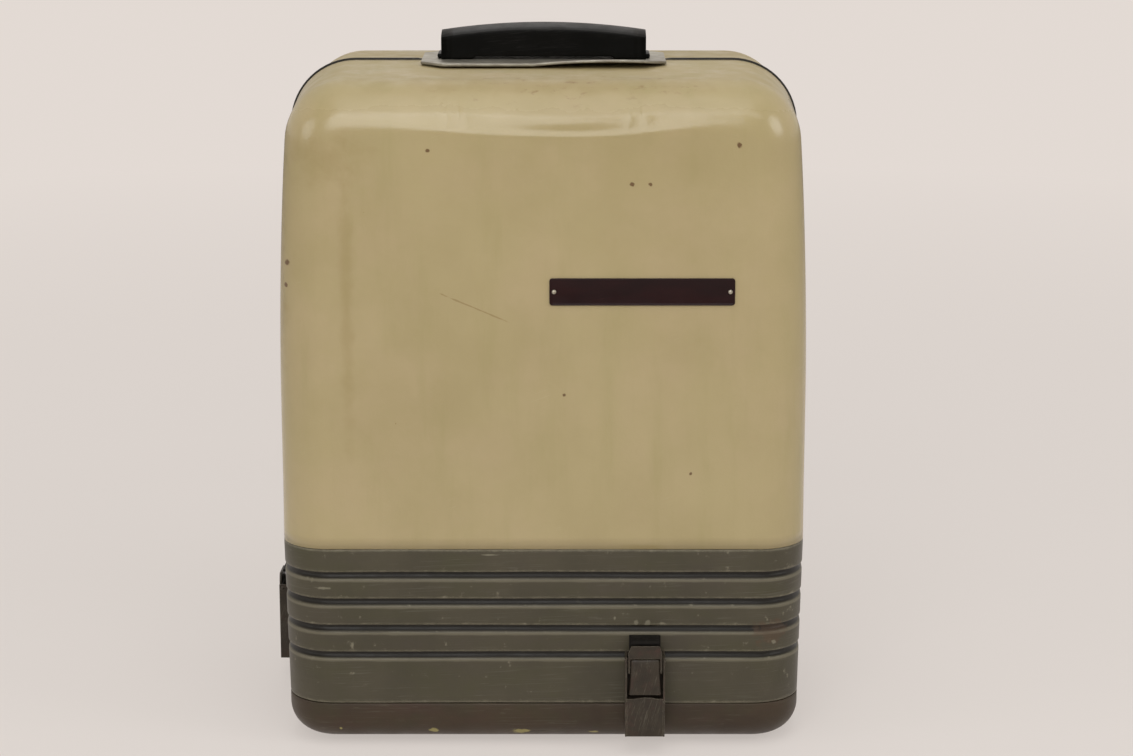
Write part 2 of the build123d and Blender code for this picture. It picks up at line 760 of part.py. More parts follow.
def make_mechanism_case():
    """The plate that carries the film side, and the cast case behind it for the gears."""
    left = -mech_plate_left
    right = left + mech_plate_length
    back = mech_plate_sheet
    plate = block(left, right, 0, back, housing_top, mech_top)
    plate = fillet(plate.edges().filter_by(Axis.Y).group_by(Axis.Z)[-1], mech_plate_corner_radius)
    slot_x = shutter_sheet / 2 + shutter_room
    slot_z = shutter_radius + shutter_room
    plate -= block(shutter_x - slot_x, shutter_x + slot_x, 0, back, optic_z - slot_z, optic_z + slot_z)
    for name, z, side in sprocket_levels:
        plate -= rod_y(shaft_radius + running_fit, 0, back, sprocket_x, z)
        shoe_x = sprocket_x + shoe_pivot_reach
        plate -= rod_y(shoe_pin_radius + running_fit, 0, back, shoe_x, z)
        plate -= rod_y(roller_pin_radius + running_fit, 0, back, roller_x, optic_z + side * roller_rise)
    pieces["mech_plate"] = plate

    wall = gear_case_wall
    deep = back + gear_case_depth
    drum_x0 = shutter_x - shutter_case_width / 2
    drum_x1 = shutter_x + shutter_case_width / 2
    drum = shutter_radius + shutter_room
    front_half = block(left - drum, right + drum, back, drive_y + 2 * drum, housing_top, mech_top)
    outer = block(gear_case_left, right, back, deep, housing_top, mech_top)
    outer = fillet(outer.edges().filter_by(Axis.Z).sort_by(Axis.Y)[-2:], gear_case_corner_radius)
    outer += rod_x(drum + wall, drum_x0, drum_x1 + wall, drive_y, optic_z) & front_half
    inner = block(gear_case_left + wall, right - wall, back, deep - wall, housing_top + wall, mech_top - wall)
    inner += rod_x(drum, drum_x0 + wall, drum_x1, drive_y, optic_z) & front_half
    through = block(drum_x0, right, back, deep - wall, housing_top, mech_top)
    inner += rod_x(2 * mitre_radius, drum_x1, gear_case_left + 2 * wall, drive_y, optic_z) & through
    case = outer - inner
    case -= rod_z(shaft_radius + running_fit, housing_top, mech_top, drive_x, drive_y)
    case -= rod_x(shaft_radius + running_fit, drum_x0, drum_x1, drive_y, optic_z)
    pieces["gear_case"] = case


def make_film_drive():
    """Two sprockets on spindles through the plate, their worm wheels, shoes and rollers."""
    y0 = film_y - film_width / 2
    y1 = film_y + film_width / 2
    wheel_y = wheel_width / 2
    for name, z, side in sprocket_levels:
        drum = rod_y(sprocket_radius, y0, y0 + sprocket_land, 0, 0)
        drum += rod_y(sprocket_radius, y1 - sprocket_land, y1, 0, 0)
        drum += rod_y(sprocket_radius - 2 * sheet, y0, y1, 0, 0)
        for turn in range(sprocket_teeth):
            for row in (y0 + 2 * sheet, y1 - 2 * sheet):
                tooth = Pos(sprocket_radius, row, 0) * Box(2 * sprocket_tooth, sheet, sheet)
                drum += Rot(0, 360 * turn / sprocket_teeth, 0) * tooth
        drum += rod_y(shaft_radius, y0 - shaft_end, drive_y + wheel_y, 0, 0)
        pieces[name + "_sprocket"] = Pos(sprocket_x, 0, z) * drum
        wheel = rod_y(wheel_radius - wheel_tooth_depth, -wheel_y, wheel_y, 0, 0)
        for turn in range(sprocket_teeth):
            tooth = block(0, wheel_radius, -wheel_y, wheel_y, -worm_pitch / 2, worm_pitch / 2)
            wheel += Rot(0, 360 * turn / sprocket_teeth, 0) * tooth
        wheel &= rod_y(wheel_radius, -wheel_y, wheel_y, 0, 0)
        wheel -= rod_y(shaft_radius, -wheel_y, wheel_y, 0, 0)
        pieces[name + "_worm_wheel"] = Pos(sprocket_x, drive_y, z) * wheel

        near = sprocket_radius + sprocket_tooth + shoe_gap
        ring = rod_y(near + shoe_sheet, y0, y1, 0, 0) - rod_y(near, y0, y1, 0, 0)
        sector = block(0, 2 * near, y0, y1, 0, 2 * near)
        shoe = ring & (Rot(0, shoe_start_angle, 0) * sector)
        low = shoe_pin_radius + shoe_sheet
        arm = block(near + shoe_sheet / 2, shoe_pivot_reach, y0, y1, -shoe_sheet / 2, shoe_sheet / 2)
        shoe += arm + rod_y(low, y0, y1, shoe_pivot_reach, 0)
        shoe += rod_y(shoe_pin_radius, y1, mech_plate_sheet, shoe_pivot_reach, 0)
        pieces[name + "_shoe"] = Pos(sprocket_x, 0, z) * shoe

        roller_z = optic_z + side * roller_rise
        roller = rod_y(roller_radius - sheet, y0, y1, roller_x, roller_z)
        roller += rod_y(roller_radius, y0, y0 + waist_land, roller_x, roller_z)
        roller += rod_y(roller_radius, y1 - waist_land, y1, roller_x, roller_z)
        pieces[name + "_roller"] = roller + rod_y(roller_pin_radius, y0, mech_plate_sheet, roller_x, roller_z)


def make_gate_and_lens():
    """The aperture plate, the sprung pressure plate and the lens in its sliding carrier."""
    half = film_width / 2 + 2 * gate_sheet
    top = gate_height / 2
    plate = block(gate_x, gate_x + gate_sheet, film_y - half, 0, optic_z - top, optic_z + top)
    window = block(gate_x, gate_x + gate_sheet, film_y - aperture_width / 2, film_y + aperture_width / 2,
                   optic_z - aperture_height / 2, optic_z + aperture_height / 2)
    pieces["aperture_plate"] = plate - window
    plate_x = gate_x + gate_sheet + film_gap
    press = block(plate_x, plate_x + pressure_sheet, film_y - half + gate_sheet, film_y + half - gate_sheet,
                  optic_z - pressure_height / 2, optic_z + pressure_height / 2)
    press -= rod_x(pressure_window_radius, plate_x, plate_x + pressure_sheet, film_y, optic_z)
    stem_z = pressure_height / 2 - 2 * pressure_stem_radius
    stem_end = carrier_x + pressure_stem_length / 2
    carrier_top = carrier_height / 2
    y0 = film_y - carrier_depth / 2
    y1 = film_y + carrier_depth / 2
    carrier_end = carrier_x + carrier_length
    carrier = block(carrier_x, carrier_end, y0, y1, optic_z - carrier_top, optic_z + carrier_top)
    carrier = fillet(carrier.edges().filter_by(Axis.X), 2 * rod_radius)
    carrier -= rod_x(lens_radius + running_fit, carrier_x, carrier_end, film_y, optic_z)
    blind = stem_end + 2 * pressure_travel
    for side in (-1, 1):
        z = optic_z + side * stem_z
        press += rod_x(pressure_stem_radius, plate_x, stem_end, film_y, z)
        carrier -= rod_x(pressure_stem_radius + running_fit, carrier_x, blind, film_y, z)
    pieces["pressure_plate"] = press
    rods = []
    rod_y_place = y1 - 2 * rod_radius
    start = carrier_x - rod_end_length - seat_gap
    end = carrier_end + carrier_travel + rod_end_length + seat_gap
    for side in (-1, 1):
        z = optic_z + side * rod_offset
        carrier -= rod_x(rod_radius + running_fit, carrier_x, carrier_end, rod_y_place, z)
        rail = rod_x(rod_radius, start, end, rod_y_place, z)
        for x0, x1 in ((start, start + rod_end_length), (end - rod_end_length, end)):
            low = z - 2 * rod_radius
            rail += block(x0, x1, rod_y_place - rod_radius, 0, low, z + 2 * rod_radius)
        rods.append(rail)
    pieces["guide_rods"] = rods
    knob_x = carrier_x + carrier_length / 2
    carrier -= rod_y(focus_pin_radius + running_fit, y0, film_y, knob_x, optic_z)
    pieces["lens_carrier"] = carrier
    knob_end = y0 - seat_gap
    knob = rod_y(focus_knob_radius, knob_end - focus_knob_height, knob_end, knob_x, optic_z)
    knob = chamfer(knob.edges().sort_by(Axis.Y)[0], focus_chamfer)
    pin_end = film_y - lens_radius + focus_slot_depth - seat_gap
    pieces["focus_knob"] = knob + rod_y(focus_pin_radius, knob_end, pin_end, knob_x, optic_z)
    front = carrier_x + lens_length
    barrel = rod_x(lens_radius, carrier_x, front, film_y, optic_z)
    barrel += rod_x(lens_front_radius, front - lens_front_length, front, film_y, optic_z)
    barrel -= rod_x(lens_bore, carrier_x, front, film_y, optic_z)
    slot_half = focus_pin_radius + seat_gap
    barrel -= block(knob_x - focus_travel - slot_half, knob_x + slot_half, film_y - lens_radius,
                    film_y - lens_radius + focus_slot_depth, optic_z - slot_half, optic_z + slot_half)
    pieces["lens_barrel"] = barrel
    glasses = []
    for x in (carrier_x + gate_sheet, front - gate_sheet - lens_glass_sheet):
        glasses.append(rod_x(lens_bore, x, x + lens_glass_sheet, film_y, optic_z))
    pieces["lens_glass"] = glasses


def make_lamp_house():
    """The vented lamp house with its side door, lamp, socket, reflector and condenser."""
    x0 = lamp_house_x
    x1 = x0 + lamp_house_length
    y0 = film_y - lamp_house_depth / 2
    y1 = film_y + lamp_house_depth / 2
    top = housing_top + lamp_house_height
    skin = lamp_house_sheet
    house = block(x0, x1, y0, y1, housing_top, top)
    house = fillet(house.edges().filter_by(Axis.Z).sort_by(Axis.X)[-2:], lamp_house_corner_radius)
    house -= block(x0 + skin, x1 - skin, y0 + skin, y1 - skin, housing_top, top - skin)
    house += rod_x(condenser_radius + skin, x1 - skin, x1 + condenser_reach, film_y, optic_z)
    house -= rod_x(condenser_radius, x1 - 2 * skin, x1 + condenser_reach, film_y, optic_z)
    pitch = lamp_house_length / (vent_slots + 1)
    for turn in range(vent_slots):
        x = x0 + (turn + 1) * pitch
        house -= block(x - vent_width / 2, x + vent_width / 2, y0 + vent_margin, y1 - vent_margin,
                       top - skin, top)
    door_z0 = housing_top + door_rise
    door_z1 = door_z0 + door_height
    hinge_y = y0 + door_knuckle_radius
    hinge_x = x0 - door_knuckle_radius - seat_gap
    open_y0 = hinge_y + 2 * door_knuckle_radius
    open_y1 = hinge_y + door_width - 2 * door_knuckle_radius
    house -= block(x0, x0 + skin, open_y0, open_y1, door_z0 + 2 * skin, door_z1 - 2 * skin)
    ears = ((door_z0 - door_ear_height, door_z0 - seat_gap), (door_z1 + seat_gap, door_z1 + door_ear_height))
    for z0, z1 in ears:
        ear = block(hinge_x, x0, hinge_y - door_knuckle_radius, hinge_y + door_knuckle_radius, z0, z1)
        ear += rod_z(door_knuckle_radius, z0, z1, hinge_x, hinge_y)
        house += ear - rod_z(door_pin_radius + running_fit, z0, z1, hinge_x, hinge_y)
    pieces["lamp_house"] = house
    door_x1 = x0 - seat_gap
    door = block(door_x1 - door_sheet, door_x1, hinge_y, hinge_y + door_width, door_z0, door_z1)
    door += rod_z(door_knuckle_radius, door_z0, door_z1, hinge_x, hinge_y)
    door += rod_z(door_pin_radius, ears[0][0], ears[1][1], hinge_x, hinge_y)
    pull_y = hinge_y + door_width - 2 * door_knuckle_radius
    pull_z = (door_z0 + door_z1) / 2
    pieces["lamp_door"] = door + rod_x(door_knuckle_radius, door_x1 - door_sheet - 2 * door_knuckle_radius,
                                       door_x1 - door_sheet, pull_y, pull_z)
    lamp_x = (x0 + x1) / 2
    socket = rod_z(socket_radius, housing_top, housing_top + socket_height, lamp_x, film_y)
    base_z = housing_top + 2 * skin
    socket -= rod_z(lamp_base_radius + seat_gap, base_z, housing_top + socket_height, lamp_x, film_y)
    pieces["lamp_socket"] = socket
    neck = base_z + lamp_base_height
    bulb_top = optic_z + lamp_tip_rise
    lamp = rod_z(lamp_base_radius, base_z, neck, lamp_x, film_y)
    lamp += rod_z(lamp_radius, neck, bulb_top, lamp_x, film_y)
    pieces["lamp"] = fillet(lamp.edges().sort_by(Axis.Z)[-1], lamp_dome_radius)
    bowl = Sphere(reflector_curve) - Sphere(reflector_curve - reflector_sheet)
    depth = reflector_curve - sqrt(reflector_curve**2 - reflector_radius**2)
    bowl &= rod_x(reflector_radius, -reflector_curve, depth - reflector_curve, 0, 0)
    back = x0 + skin + reflector_gap
    stem_top = optic_z - reflector_radius + 2 * reflector_sheet
    stem = rod_z(2 * reflector_sheet, housing_top, stem_top, back + depth, film_y)
    pieces["reflector"] = Pos(back + reflector_curve, film_y, optic_z) * bowl + stem
    lens_x = x1 + condenser_reach - skin
    pieces["condenser_lens"] = rod_x(condenser_radius, lens_x - condenser_lens_sheet, lens_x, film_y, optic_z)


def make_reel_arms():
    """Two reel arms put away upright behind the lamp house, each with its turning spindle."""
    arms = []
    bottom = housing_top + seat_gap
    top = bottom + arm_length
    spindle_z = top - arm_width / 2
    for place, name in enumerate(("supply_spindle", "takeup_spindle")):
        x = arm_x + place * arm_spacing
        y0 = arm_y - arm_sheet / 2
        y1 = arm_y + arm_sheet / 2
        arm = block(x - arm_width / 2, x + arm_width / 2, y0, y1, bottom, spindle_z)
        arm += rod_y(arm_width / 2, y0, y1, x, spindle_z)
        arms.append(arm - rod_y(spindle_radius + running_fit, y0, y1, x, spindle_z))
        hub = rod_y(spindle_hub_radius, y1 + seat_gap, y1 + seat_gap + spindle_hub_length, x, spindle_z)
        spindle = hub + rod_y(spindle_radius, y0 - seat_gap, y1 + spindle_length, x, spindle_z)
        keeper = rod_y(spindle_radius + 2 * sheet, y0 - seat_gap - 2 * sheet, y0 - seat_gap, x, spindle_z)
        pieces[name] = spindle + keeper
    pieces["reel_arms"] = arms


tray_block = make_tray()
make_cover()
make_handle()
make_latches(tray_block)
motor_bottom = make_base()
make_drive(motor_bottom)
make_shutter()
make_mechanism_case()
make_film_drive()
make_gate_and_lens()
make_lamp_house()
make_reel_arms()

os.makedirs("parts", exist_ok=True)
for name, shape in pieces.items():
    solids = shape if isinstance(shape, list) else [shape]
    flat = [solid for part in solids for solid in part.solids()]
    export_step(Compound(children=flat) if len(flat) > 1 else flat[0], f"parts/{name}.step")
print(len(pieces), "nodes, case", round(case_width, 1), round(case_depth, 1), round(case_top, 1))
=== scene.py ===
from math import atan2, cos, pi, radians, sin, sqrt, tan

import bmesh
import bpy
from mathutils import Matrix, Vector, noise


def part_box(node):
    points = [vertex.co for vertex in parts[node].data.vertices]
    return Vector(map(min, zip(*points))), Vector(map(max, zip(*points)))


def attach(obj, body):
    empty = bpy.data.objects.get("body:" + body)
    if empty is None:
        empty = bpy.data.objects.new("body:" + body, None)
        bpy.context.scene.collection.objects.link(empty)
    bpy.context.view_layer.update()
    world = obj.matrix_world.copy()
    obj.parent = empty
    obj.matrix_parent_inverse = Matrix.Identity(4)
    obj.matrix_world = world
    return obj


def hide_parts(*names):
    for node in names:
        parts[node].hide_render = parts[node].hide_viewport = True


# A portable film projector closed in its carrying case. A deep beige cover with a ribbed
# skirt stands over the machine on a shallow tray, and two draw latches hold it down.
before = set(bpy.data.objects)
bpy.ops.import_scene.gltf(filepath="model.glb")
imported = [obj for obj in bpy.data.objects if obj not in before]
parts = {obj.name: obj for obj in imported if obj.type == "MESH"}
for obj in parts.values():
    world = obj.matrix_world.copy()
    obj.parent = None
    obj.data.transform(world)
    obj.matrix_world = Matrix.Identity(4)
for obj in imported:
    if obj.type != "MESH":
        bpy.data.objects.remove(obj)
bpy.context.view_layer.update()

# The camera stands 1.6 m in front of the middle of the case, a little above its top, and
# looks down at it with a long lens.
stand = bpy.data.cameras.new("stand_camera")
stand.lens = 86.71
stand.sensor_width = 36.0
stand.clip_end = 60.0
camera = bpy.data.objects.new("stand_camera", stand)
camera.location = (0.0133, -1.602, 0.565)
camera.rotation_euler = (radians(90 - 12.92), 0, 0)
bpy.context.scene.collection.objects.link(camera)
bpy.context.scene.camera = camera
bpy.context.scene.view_settings.view_transform = "Standard"


# The studio: a pale paper floor that runs out of sight, and a pale room beyond it. Large
# soft lamps stand on all sides, and a long strip above the camera draws the line of light
# along the top of the case. The room is dimmer behind the camera, so the case reflects less.
def link(name, data):
    """Puts an object in the scene."""
    made = bpy.data.objects.new(name, data)
    bpy.context.scene.collection.objects.link(made)
    return made


def put(tree, kind, inputs=None, **settings):
    """Adds a node with its settings, and with values or links on its inputs."""
    made = tree.nodes.new("ShaderNode" + kind)
    for name, value in settings.items():
        setattr(made, name, value)
    for name, value in (inputs or {}).items():
        if isinstance(value, bpy.types.NodeSocket):
            tree.links.new(value, made.inputs[name])
        else:
            made.inputs[name].default_value = value
    return made


def new_material(name, **shine):
    """A material with a bare Principled shader, its plain values set on the shader."""
    made = bpy.data.materials.new(name)
    made.use_nodes = True
    shader = made.node_tree.nodes["Principled BSDF"]
    for socket, value in shine.items():
        shader.inputs[socket.replace("_", " ")].default_value = value
    return made, made.node_tree, shader


def calc(tree, operation, first, second=None):
    """A Math node on one or two values or links."""
    values = {0: first} if second is None else {0: first, 1: second}
    return put(tree, "Math", values, operation=operation).outputs[0]


def vector(tree, operation, first, second):
    """A Vector Math node on two values or links."""
    return put(tree, "VectorMath", {0: first, 1: second}, operation=operation).outputs[0]


def here(tree):
    """The coordinates of the object itself."""
    return put(tree, "TexCoord").outputs["Object"]


def ramp(tree, value, low, high, first, second):
    """Runs from one value at low to another at high."""
    inputs = {"From Min": low, "From Max": high, "To Min": first, "To Max": second}
    return put(tree, "MapRange", {"Value": value, **inputs}).outputs["Result"]


def ray_kinds(tree):
    """Two masks: rays from the camera or through glass, and rays mirrored by a surface."""
    path = put(tree, "LightPath")
    seen = calc(tree, "MAXIMUM", path.outputs["Is Camera Ray"], path.outputs["Is Transmission Ray"])
    return seen, path.outputs["Is Glossy Ray"]


paper, tree, shader = new_material("paper", Roughness=0.9, Specular_IOR_Level=0.1)
place = here(tree)
mottle = put(tree, "TexNoise", {"Vector": place, "Scale": 1.4, "Detail": 3.0})
tint = put(tree, "ValToRGB", {"Fac": mottle.outputs["Fac"]})
tint.color_ramp.elements[0].color = (0.70, 0.655, 0.62, 1)
tint.color_ramp.elements[1].color = (0.78, 0.735, 0.70, 1)
tree.links.new(tint.outputs["Color"], shader.inputs["Base Color"])
seen, mirrored = ray_kinds(tree)
away = put(tree, "VectorMath", {0: place}, operation="LENGTH").outputs["Value"]
share = calc(tree, "MULTIPLY", seen, ramp(tree, away, 0.4, 2.2, 0.62, 1.0))
share = calc(tree, "MAXIMUM", share, mirrored)
loss = calc(tree, "MULTIPLY", mirrored, ramp(tree, away, 0.8, 2.5, 0.0, 0.65))
level = calc(tree, "SUBTRACT", 1.0, loss)
glow = put(tree, "Emission", {"Color": (0.765, 0.70, 0.655, 1), "Strength": level})
laid = put(tree, "MixShader", {0: share, 1: shader.outputs[0], 2: glow.outputs[0]})
tree.links.new(laid.outputs[0], tree.nodes["Material Output"].inputs["Surface"])
floor_reach = 24.0
floor_mesh = bpy.data.meshes.new("paper_floor")
corners = [(-floor_reach, -floor_reach, 0), (floor_reach, -floor_reach, 0)]
corners += [(floor_reach, floor_reach, 0), (-floor_reach, floor_reach, 0)]
floor_mesh.from_pydata(corners, [], [(0, 1, 2, 3)])
floor_mesh.materials.append(paper)
link("paper_floor", floor_mesh)

room = bpy.data.worlds.new("room")
room.use_nodes = True
bpy.context.scene.world = room
tree = room.node_tree
seen, mirrored = ray_kinds(tree)
facing = put(tree, "SeparateXYZ", {0: put(tree, "TexCoord").outputs["Generated"]}).outputs["Y"]
loss = calc(tree, "MULTIPLY", mirrored, ramp(tree, facing, 0.3, -0.3, 0.0, 0.7))
level = calc(tree, "SUBTRACT", 1.0, loss)
fill = put(tree, "Background", {"Color": (0.97, 0.96, 0.95, 1), "Strength": 0.45})
wall = put(tree, "Background", {"Color": (0.80, 0.745, 0.70, 1), "Strength": level})
share = calc(tree, "MAXIMUM", seen, mirrored)
mixed = put(tree, "MixShader", {0: share, 1: fill.outputs[0], 2: wall.outputs[0]})
tree.links.new(mixed.outputs[0], tree.nodes["World Output"].inputs["Surface"])

for name, spot, size, power in (
    ("top_lamp", (0.1, -0.7, 1.9), 1.3, 7.0),
    ("front_lamp", (-0.5, -2.4, 1.5), 1.6, 20.0),
    ("right_lamp", (1.9, -0.9, 1.1), 1.0, 9.0),
    ("left_lamp", (-1.9, -0.9, 0.9), 1.0, 5.0),
    ("back_lamp", (-0.2, 2.4, 2.4), 1.4, 8.0),
):
    lamp = bpy.data.lights.new(name, "AREA")
    lamp.shape = "DISK"
    lamp.size = size
    lamp.energy = power
    hung = link(name, lamp)
    hung.location = spot
    hung.rotation_euler = (Vector(spot) - Vector((0, 0, 0.2))).to_track_quat("Z", "Y").to_euler()

strip = bpy.data.lights.new("strip_lamp", "AREA")
strip.shape = "RECTANGLE"
strip.size = 1.5
strip.size_y = 0.16
strip.energy = 3.2
hung = link("strip_lamp", strip)
hung.location = (0.30, -1.27, 1.46)
hung.rotation_euler = (radians(47), 0, 0)


# The two shells of the cover are pressed from steel sheet and stove-enamelled beige. Long
# use has stained the front of the top, chipped small rust spots and left faint runs down the
# front. The back of the top is darkened as painted shade.
def new_group(name, output, **inputs):
    """A shader node group with named inputs, each with its value, and one named output."""
    made = bpy.data.node_groups.new(name, "ShaderNodeTree")
    for label, value in inputs.items():
        kind = "NodeSocketVector" if isinstance(value, tuple) else "NodeSocketFloat"
        made.interface.new_socket(label, in_out="INPUT", socket_type=kind).default_value = value
    made.interface.new_socket(output, in_out="OUTPUT", socket_type="NodeSocketFloat")
    given = made.nodes.new("NodeGroupInput").outputs
    return made, given, made.nodes.new("NodeGroupOutput").inputs[output]


def use(tree, group, **inputs):
    """Places a group in a material with its own values, and gives back its first output."""
    made = tree.nodes.new("ShaderNodeGroup")
    made.node_tree = bpy.data.node_groups[group]
    for name, value in inputs.items():
        label = name.replace("_", " ")
        if isinstance(value, bpy.types.NodeSocket):
            tree.links.new(value, made.inputs[label])
        else:
            made.inputs[label].default_value = value
    return made.outputs[0]


def between(tree, value, low, high):
    """A smooth step of a value from 0 at low to 1 at high."""
    inputs = {"Value": value, "From Min": low, "From Max": high}
    return put(tree, "MapRange", inputs, interpolation_type="SMOOTHSTEP").outputs["Result"]


def turned(tree, place, angle):
    """Coordinates turned about the axis that runs from front to back."""
    inputs = {"Vector": place, "Angle": angle}
    return put(tree, "VectorRotate", inputs, rotation_type="Y_AXIS").outputs[0]


def noise_of(tree, place, size, **inputs):
    """A noise with features of a given size."""
    fine = calc(tree, "DIVIDE", 1.0, size)
    return put(tree, "TexNoise", {"Vector": place, "Scale": fine, **inputs}).outputs["Fac"]


tree, given, out = new_group(
    "Cloudy patches", "Mask", Size=0.05, Stretch=(1, 1, 1), Cover=0.5, Softness=0.2, Shift=0.0,
)
place = vector(tree, "DIVIDE", here(tree), given["Stretch"])
place = vector(tree, "ADD", place, given["Shift"])
cloud = noise_of(tree, place, given["Size"], Detail=5.0, Roughness=0.6)
edge = calc(tree, "SUBTRACT", 1.0, given["Cover"])
low = calc(tree, "SUBTRACT", edge, given["Softness"])
high = calc(tree, "ADD", edge, given["Softness"])
tree.links.new(between(tree, cloud, low, high), out)

tree, given, out = new_group("Rust spots", "Mask", Spacing=0.02, Radius=0.0006, Share=0.3)
place = here(tree)
wander = put(tree, "TexNoise", {"Vector": place, "Scale": 900.0, "Detail": 2.0})
nudge = vector(tree, "SUBTRACT", wander.outputs["Color"], (0.5, 0.5, 0.5))
nudge = put(tree, "VectorMath", {0: nudge, "Scale": 0.0012}, operation="SCALE").outputs[0]
place = vector(tree, "ADD", place, nudge)
fine = calc(tree, "DIVIDE", 1.0, given["Spacing"])
cells = put(tree, "TexVoronoi", {"Vector": place, "Scale": fine})
pick = put(tree, "SeparateColor", {"Color": cells.outputs["Color"]})
reach = calc(tree, "MULTIPLY", cells.outputs["Distance"], given["Spacing"])
size = calc(tree, "MULTIPLY", given["Radius"], calc(tree, "ADD", pick.outputs["Green"], 0.4))
inside = between(tree, calc(tree, "DIVIDE", reach, size), 1.0, 0.55)
chosen = calc(tree, "LESS_THAN", pick.outputs["Red"], given["Share"])
tree.links.new(calc(tree, "MULTIPLY", inside, chosen), out)

tree, given, out = new_group(
    "Placed mark",
    "Mask", Centre=(0, 0, 0), Reach=(0.01, 0.01, 0.01), Turn=0.0, Ragged=0.3, Grain=0.004,
    Softness=0.5,
)
rough = noise_of(tree, here(tree), given["Grain"], Detail=3.0)
place = turned(tree, vector(tree, "SUBTRACT", here(tree), given["Centre"]), given["Turn"])
place = vector(tree, "DIVIDE", place, given["Reach"])
away = put(tree, "VectorMath", {0: place}, operation="LENGTH").outputs["Value"]
shake = calc(tree, "MULTIPLY", calc(tree, "SUBTRACT", rough, 0.5), given["Ragged"])
away = calc(tree, "ADD", away, calc(tree, "MULTIPLY", shake, 4.0))
near = calc(tree, "SUBTRACT", 1.0, given["Softness"])
tree.links.new(between(tree, away, 1.0, near), out)

tree, given, out = new_group(
    "Fine scratches", "Mask", Length=0.05, Width=0.0007, Turn=0.0, Share=0.5,
)
stretch = put(tree, "CombineXYZ", {0: given["Length"], 1: 0.03, 2: given["Width"]}).outputs[0]
place = vector(tree, "DIVIDE", turned(tree, here(tree), given["Turn"]), stretch)
line = put(tree, "TexNoise", {"Vector": place, "Scale": 0.35, "Detail": 2.0, "Distortion": 0.25})
thin = calc(tree, "ABSOLUTE", calc(tree, "SUBTRACT", line.outputs["Fac"], 0.5))
thin = between(tree, thin, 0.016, 0.004)
where = use(tree, "Cloudy patches", Size=0.03, Cover=given["Share"], Softness=0.06, Shift=3.7)
tree.links.new(calc(tree, "MULTIPLY", thin, where), out)

tree, given, out = new_group("Worn edges", "Mask", Radius=0.001, Wear=0.5, Grain=0.004)
soft = put(tree, "Bevel", {"Radius": given["Radius"]}, samples=6).outputs["Normal"]
hard = put(tree, "NewGeometry").outputs["Normal"]
bend = put(tree, "VectorMath", {0: soft, 1: hard}, operation="DOT_PRODUCT").outputs["Value"]
bend = calc(tree, "MULTIPLY", calc(tree, "SUBTRACT", 1.0, bend), 9.0)
rough = noise_of(tree, here(tree), given["Grain"], Detail=4.0, Roughness=0.65)
bend = calc(tree, "ADD", bend, calc(tree, "MULTIPLY", calc(tree, "SUBTRACT", rough, 0.5), 2.4))
edge = calc(tree, "SUBTRACT", 1.0, given["Wear"])
tree.links.new(between(tree, bend, edge, calc(tree, "ADD", edge, 0.35)), out)

tree, given, out = new_group("Enamel skin", "Height", Size=0.0016)
peel = noise_of(tree, here(tree), given["Size"], Detail=2.0, Roughness=0.45)
slow = put(tree, "TexNoise", {"Vector": here(tree), "Scale": 28.0, "Detail": 1.0}).outputs["Fac"]
tree.links.new(calc(tree, "ADD", peel, calc(tree, "MULTIPLY", slow, 2.0)), out)

tree, given, out = new_group("Settled dust", "Mask", Amount=0.4, Size=0.01)
upright = put(tree, "SeparateXYZ", {0: put(tree, "TexCoord").outputs["Normal"]}).outputs["Z"]
facing = between(tree, upright, 0.35, 1.05)
cloud = use(tree, "Cloudy patches", Size=given["Size"], Cover=0.55, Softness=0.25, Shift=9.1)
dust = calc(tree, "MULTIPLY", facing, calc(tree, "ADD", calc(tree, "MULTIPLY", cloud, 0.6), 0.4))
tree.links.new(calc(tree, "MULTIPLY", dust, given["Amount"]), out)


def blend_in(tree, colour, over, mask, strength=1.0):
    """Lays one colour over another by a mask."""
    if strength != 1.0:
        mask = calc(tree, "MULTIPLY", mask, strength)
    made = tree.nodes.new("ShaderNodeMix")
    made.data_type = "RGBA"
    colours = [s for s in made.inputs if s.type == "RGBA"]
    for socket, value in zip([made.inputs[0], *colours], (mask, colour, over)):
        if isinstance(value, bpy.types.NodeSocket):
            tree.links.new(value, socket)
        elif socket.type == "RGBA":
            socket.default_value = (*value, 1)
        else:
            socket.default_value = value
    return [s for s in made.outputs if s.type == "RGBA"][0]


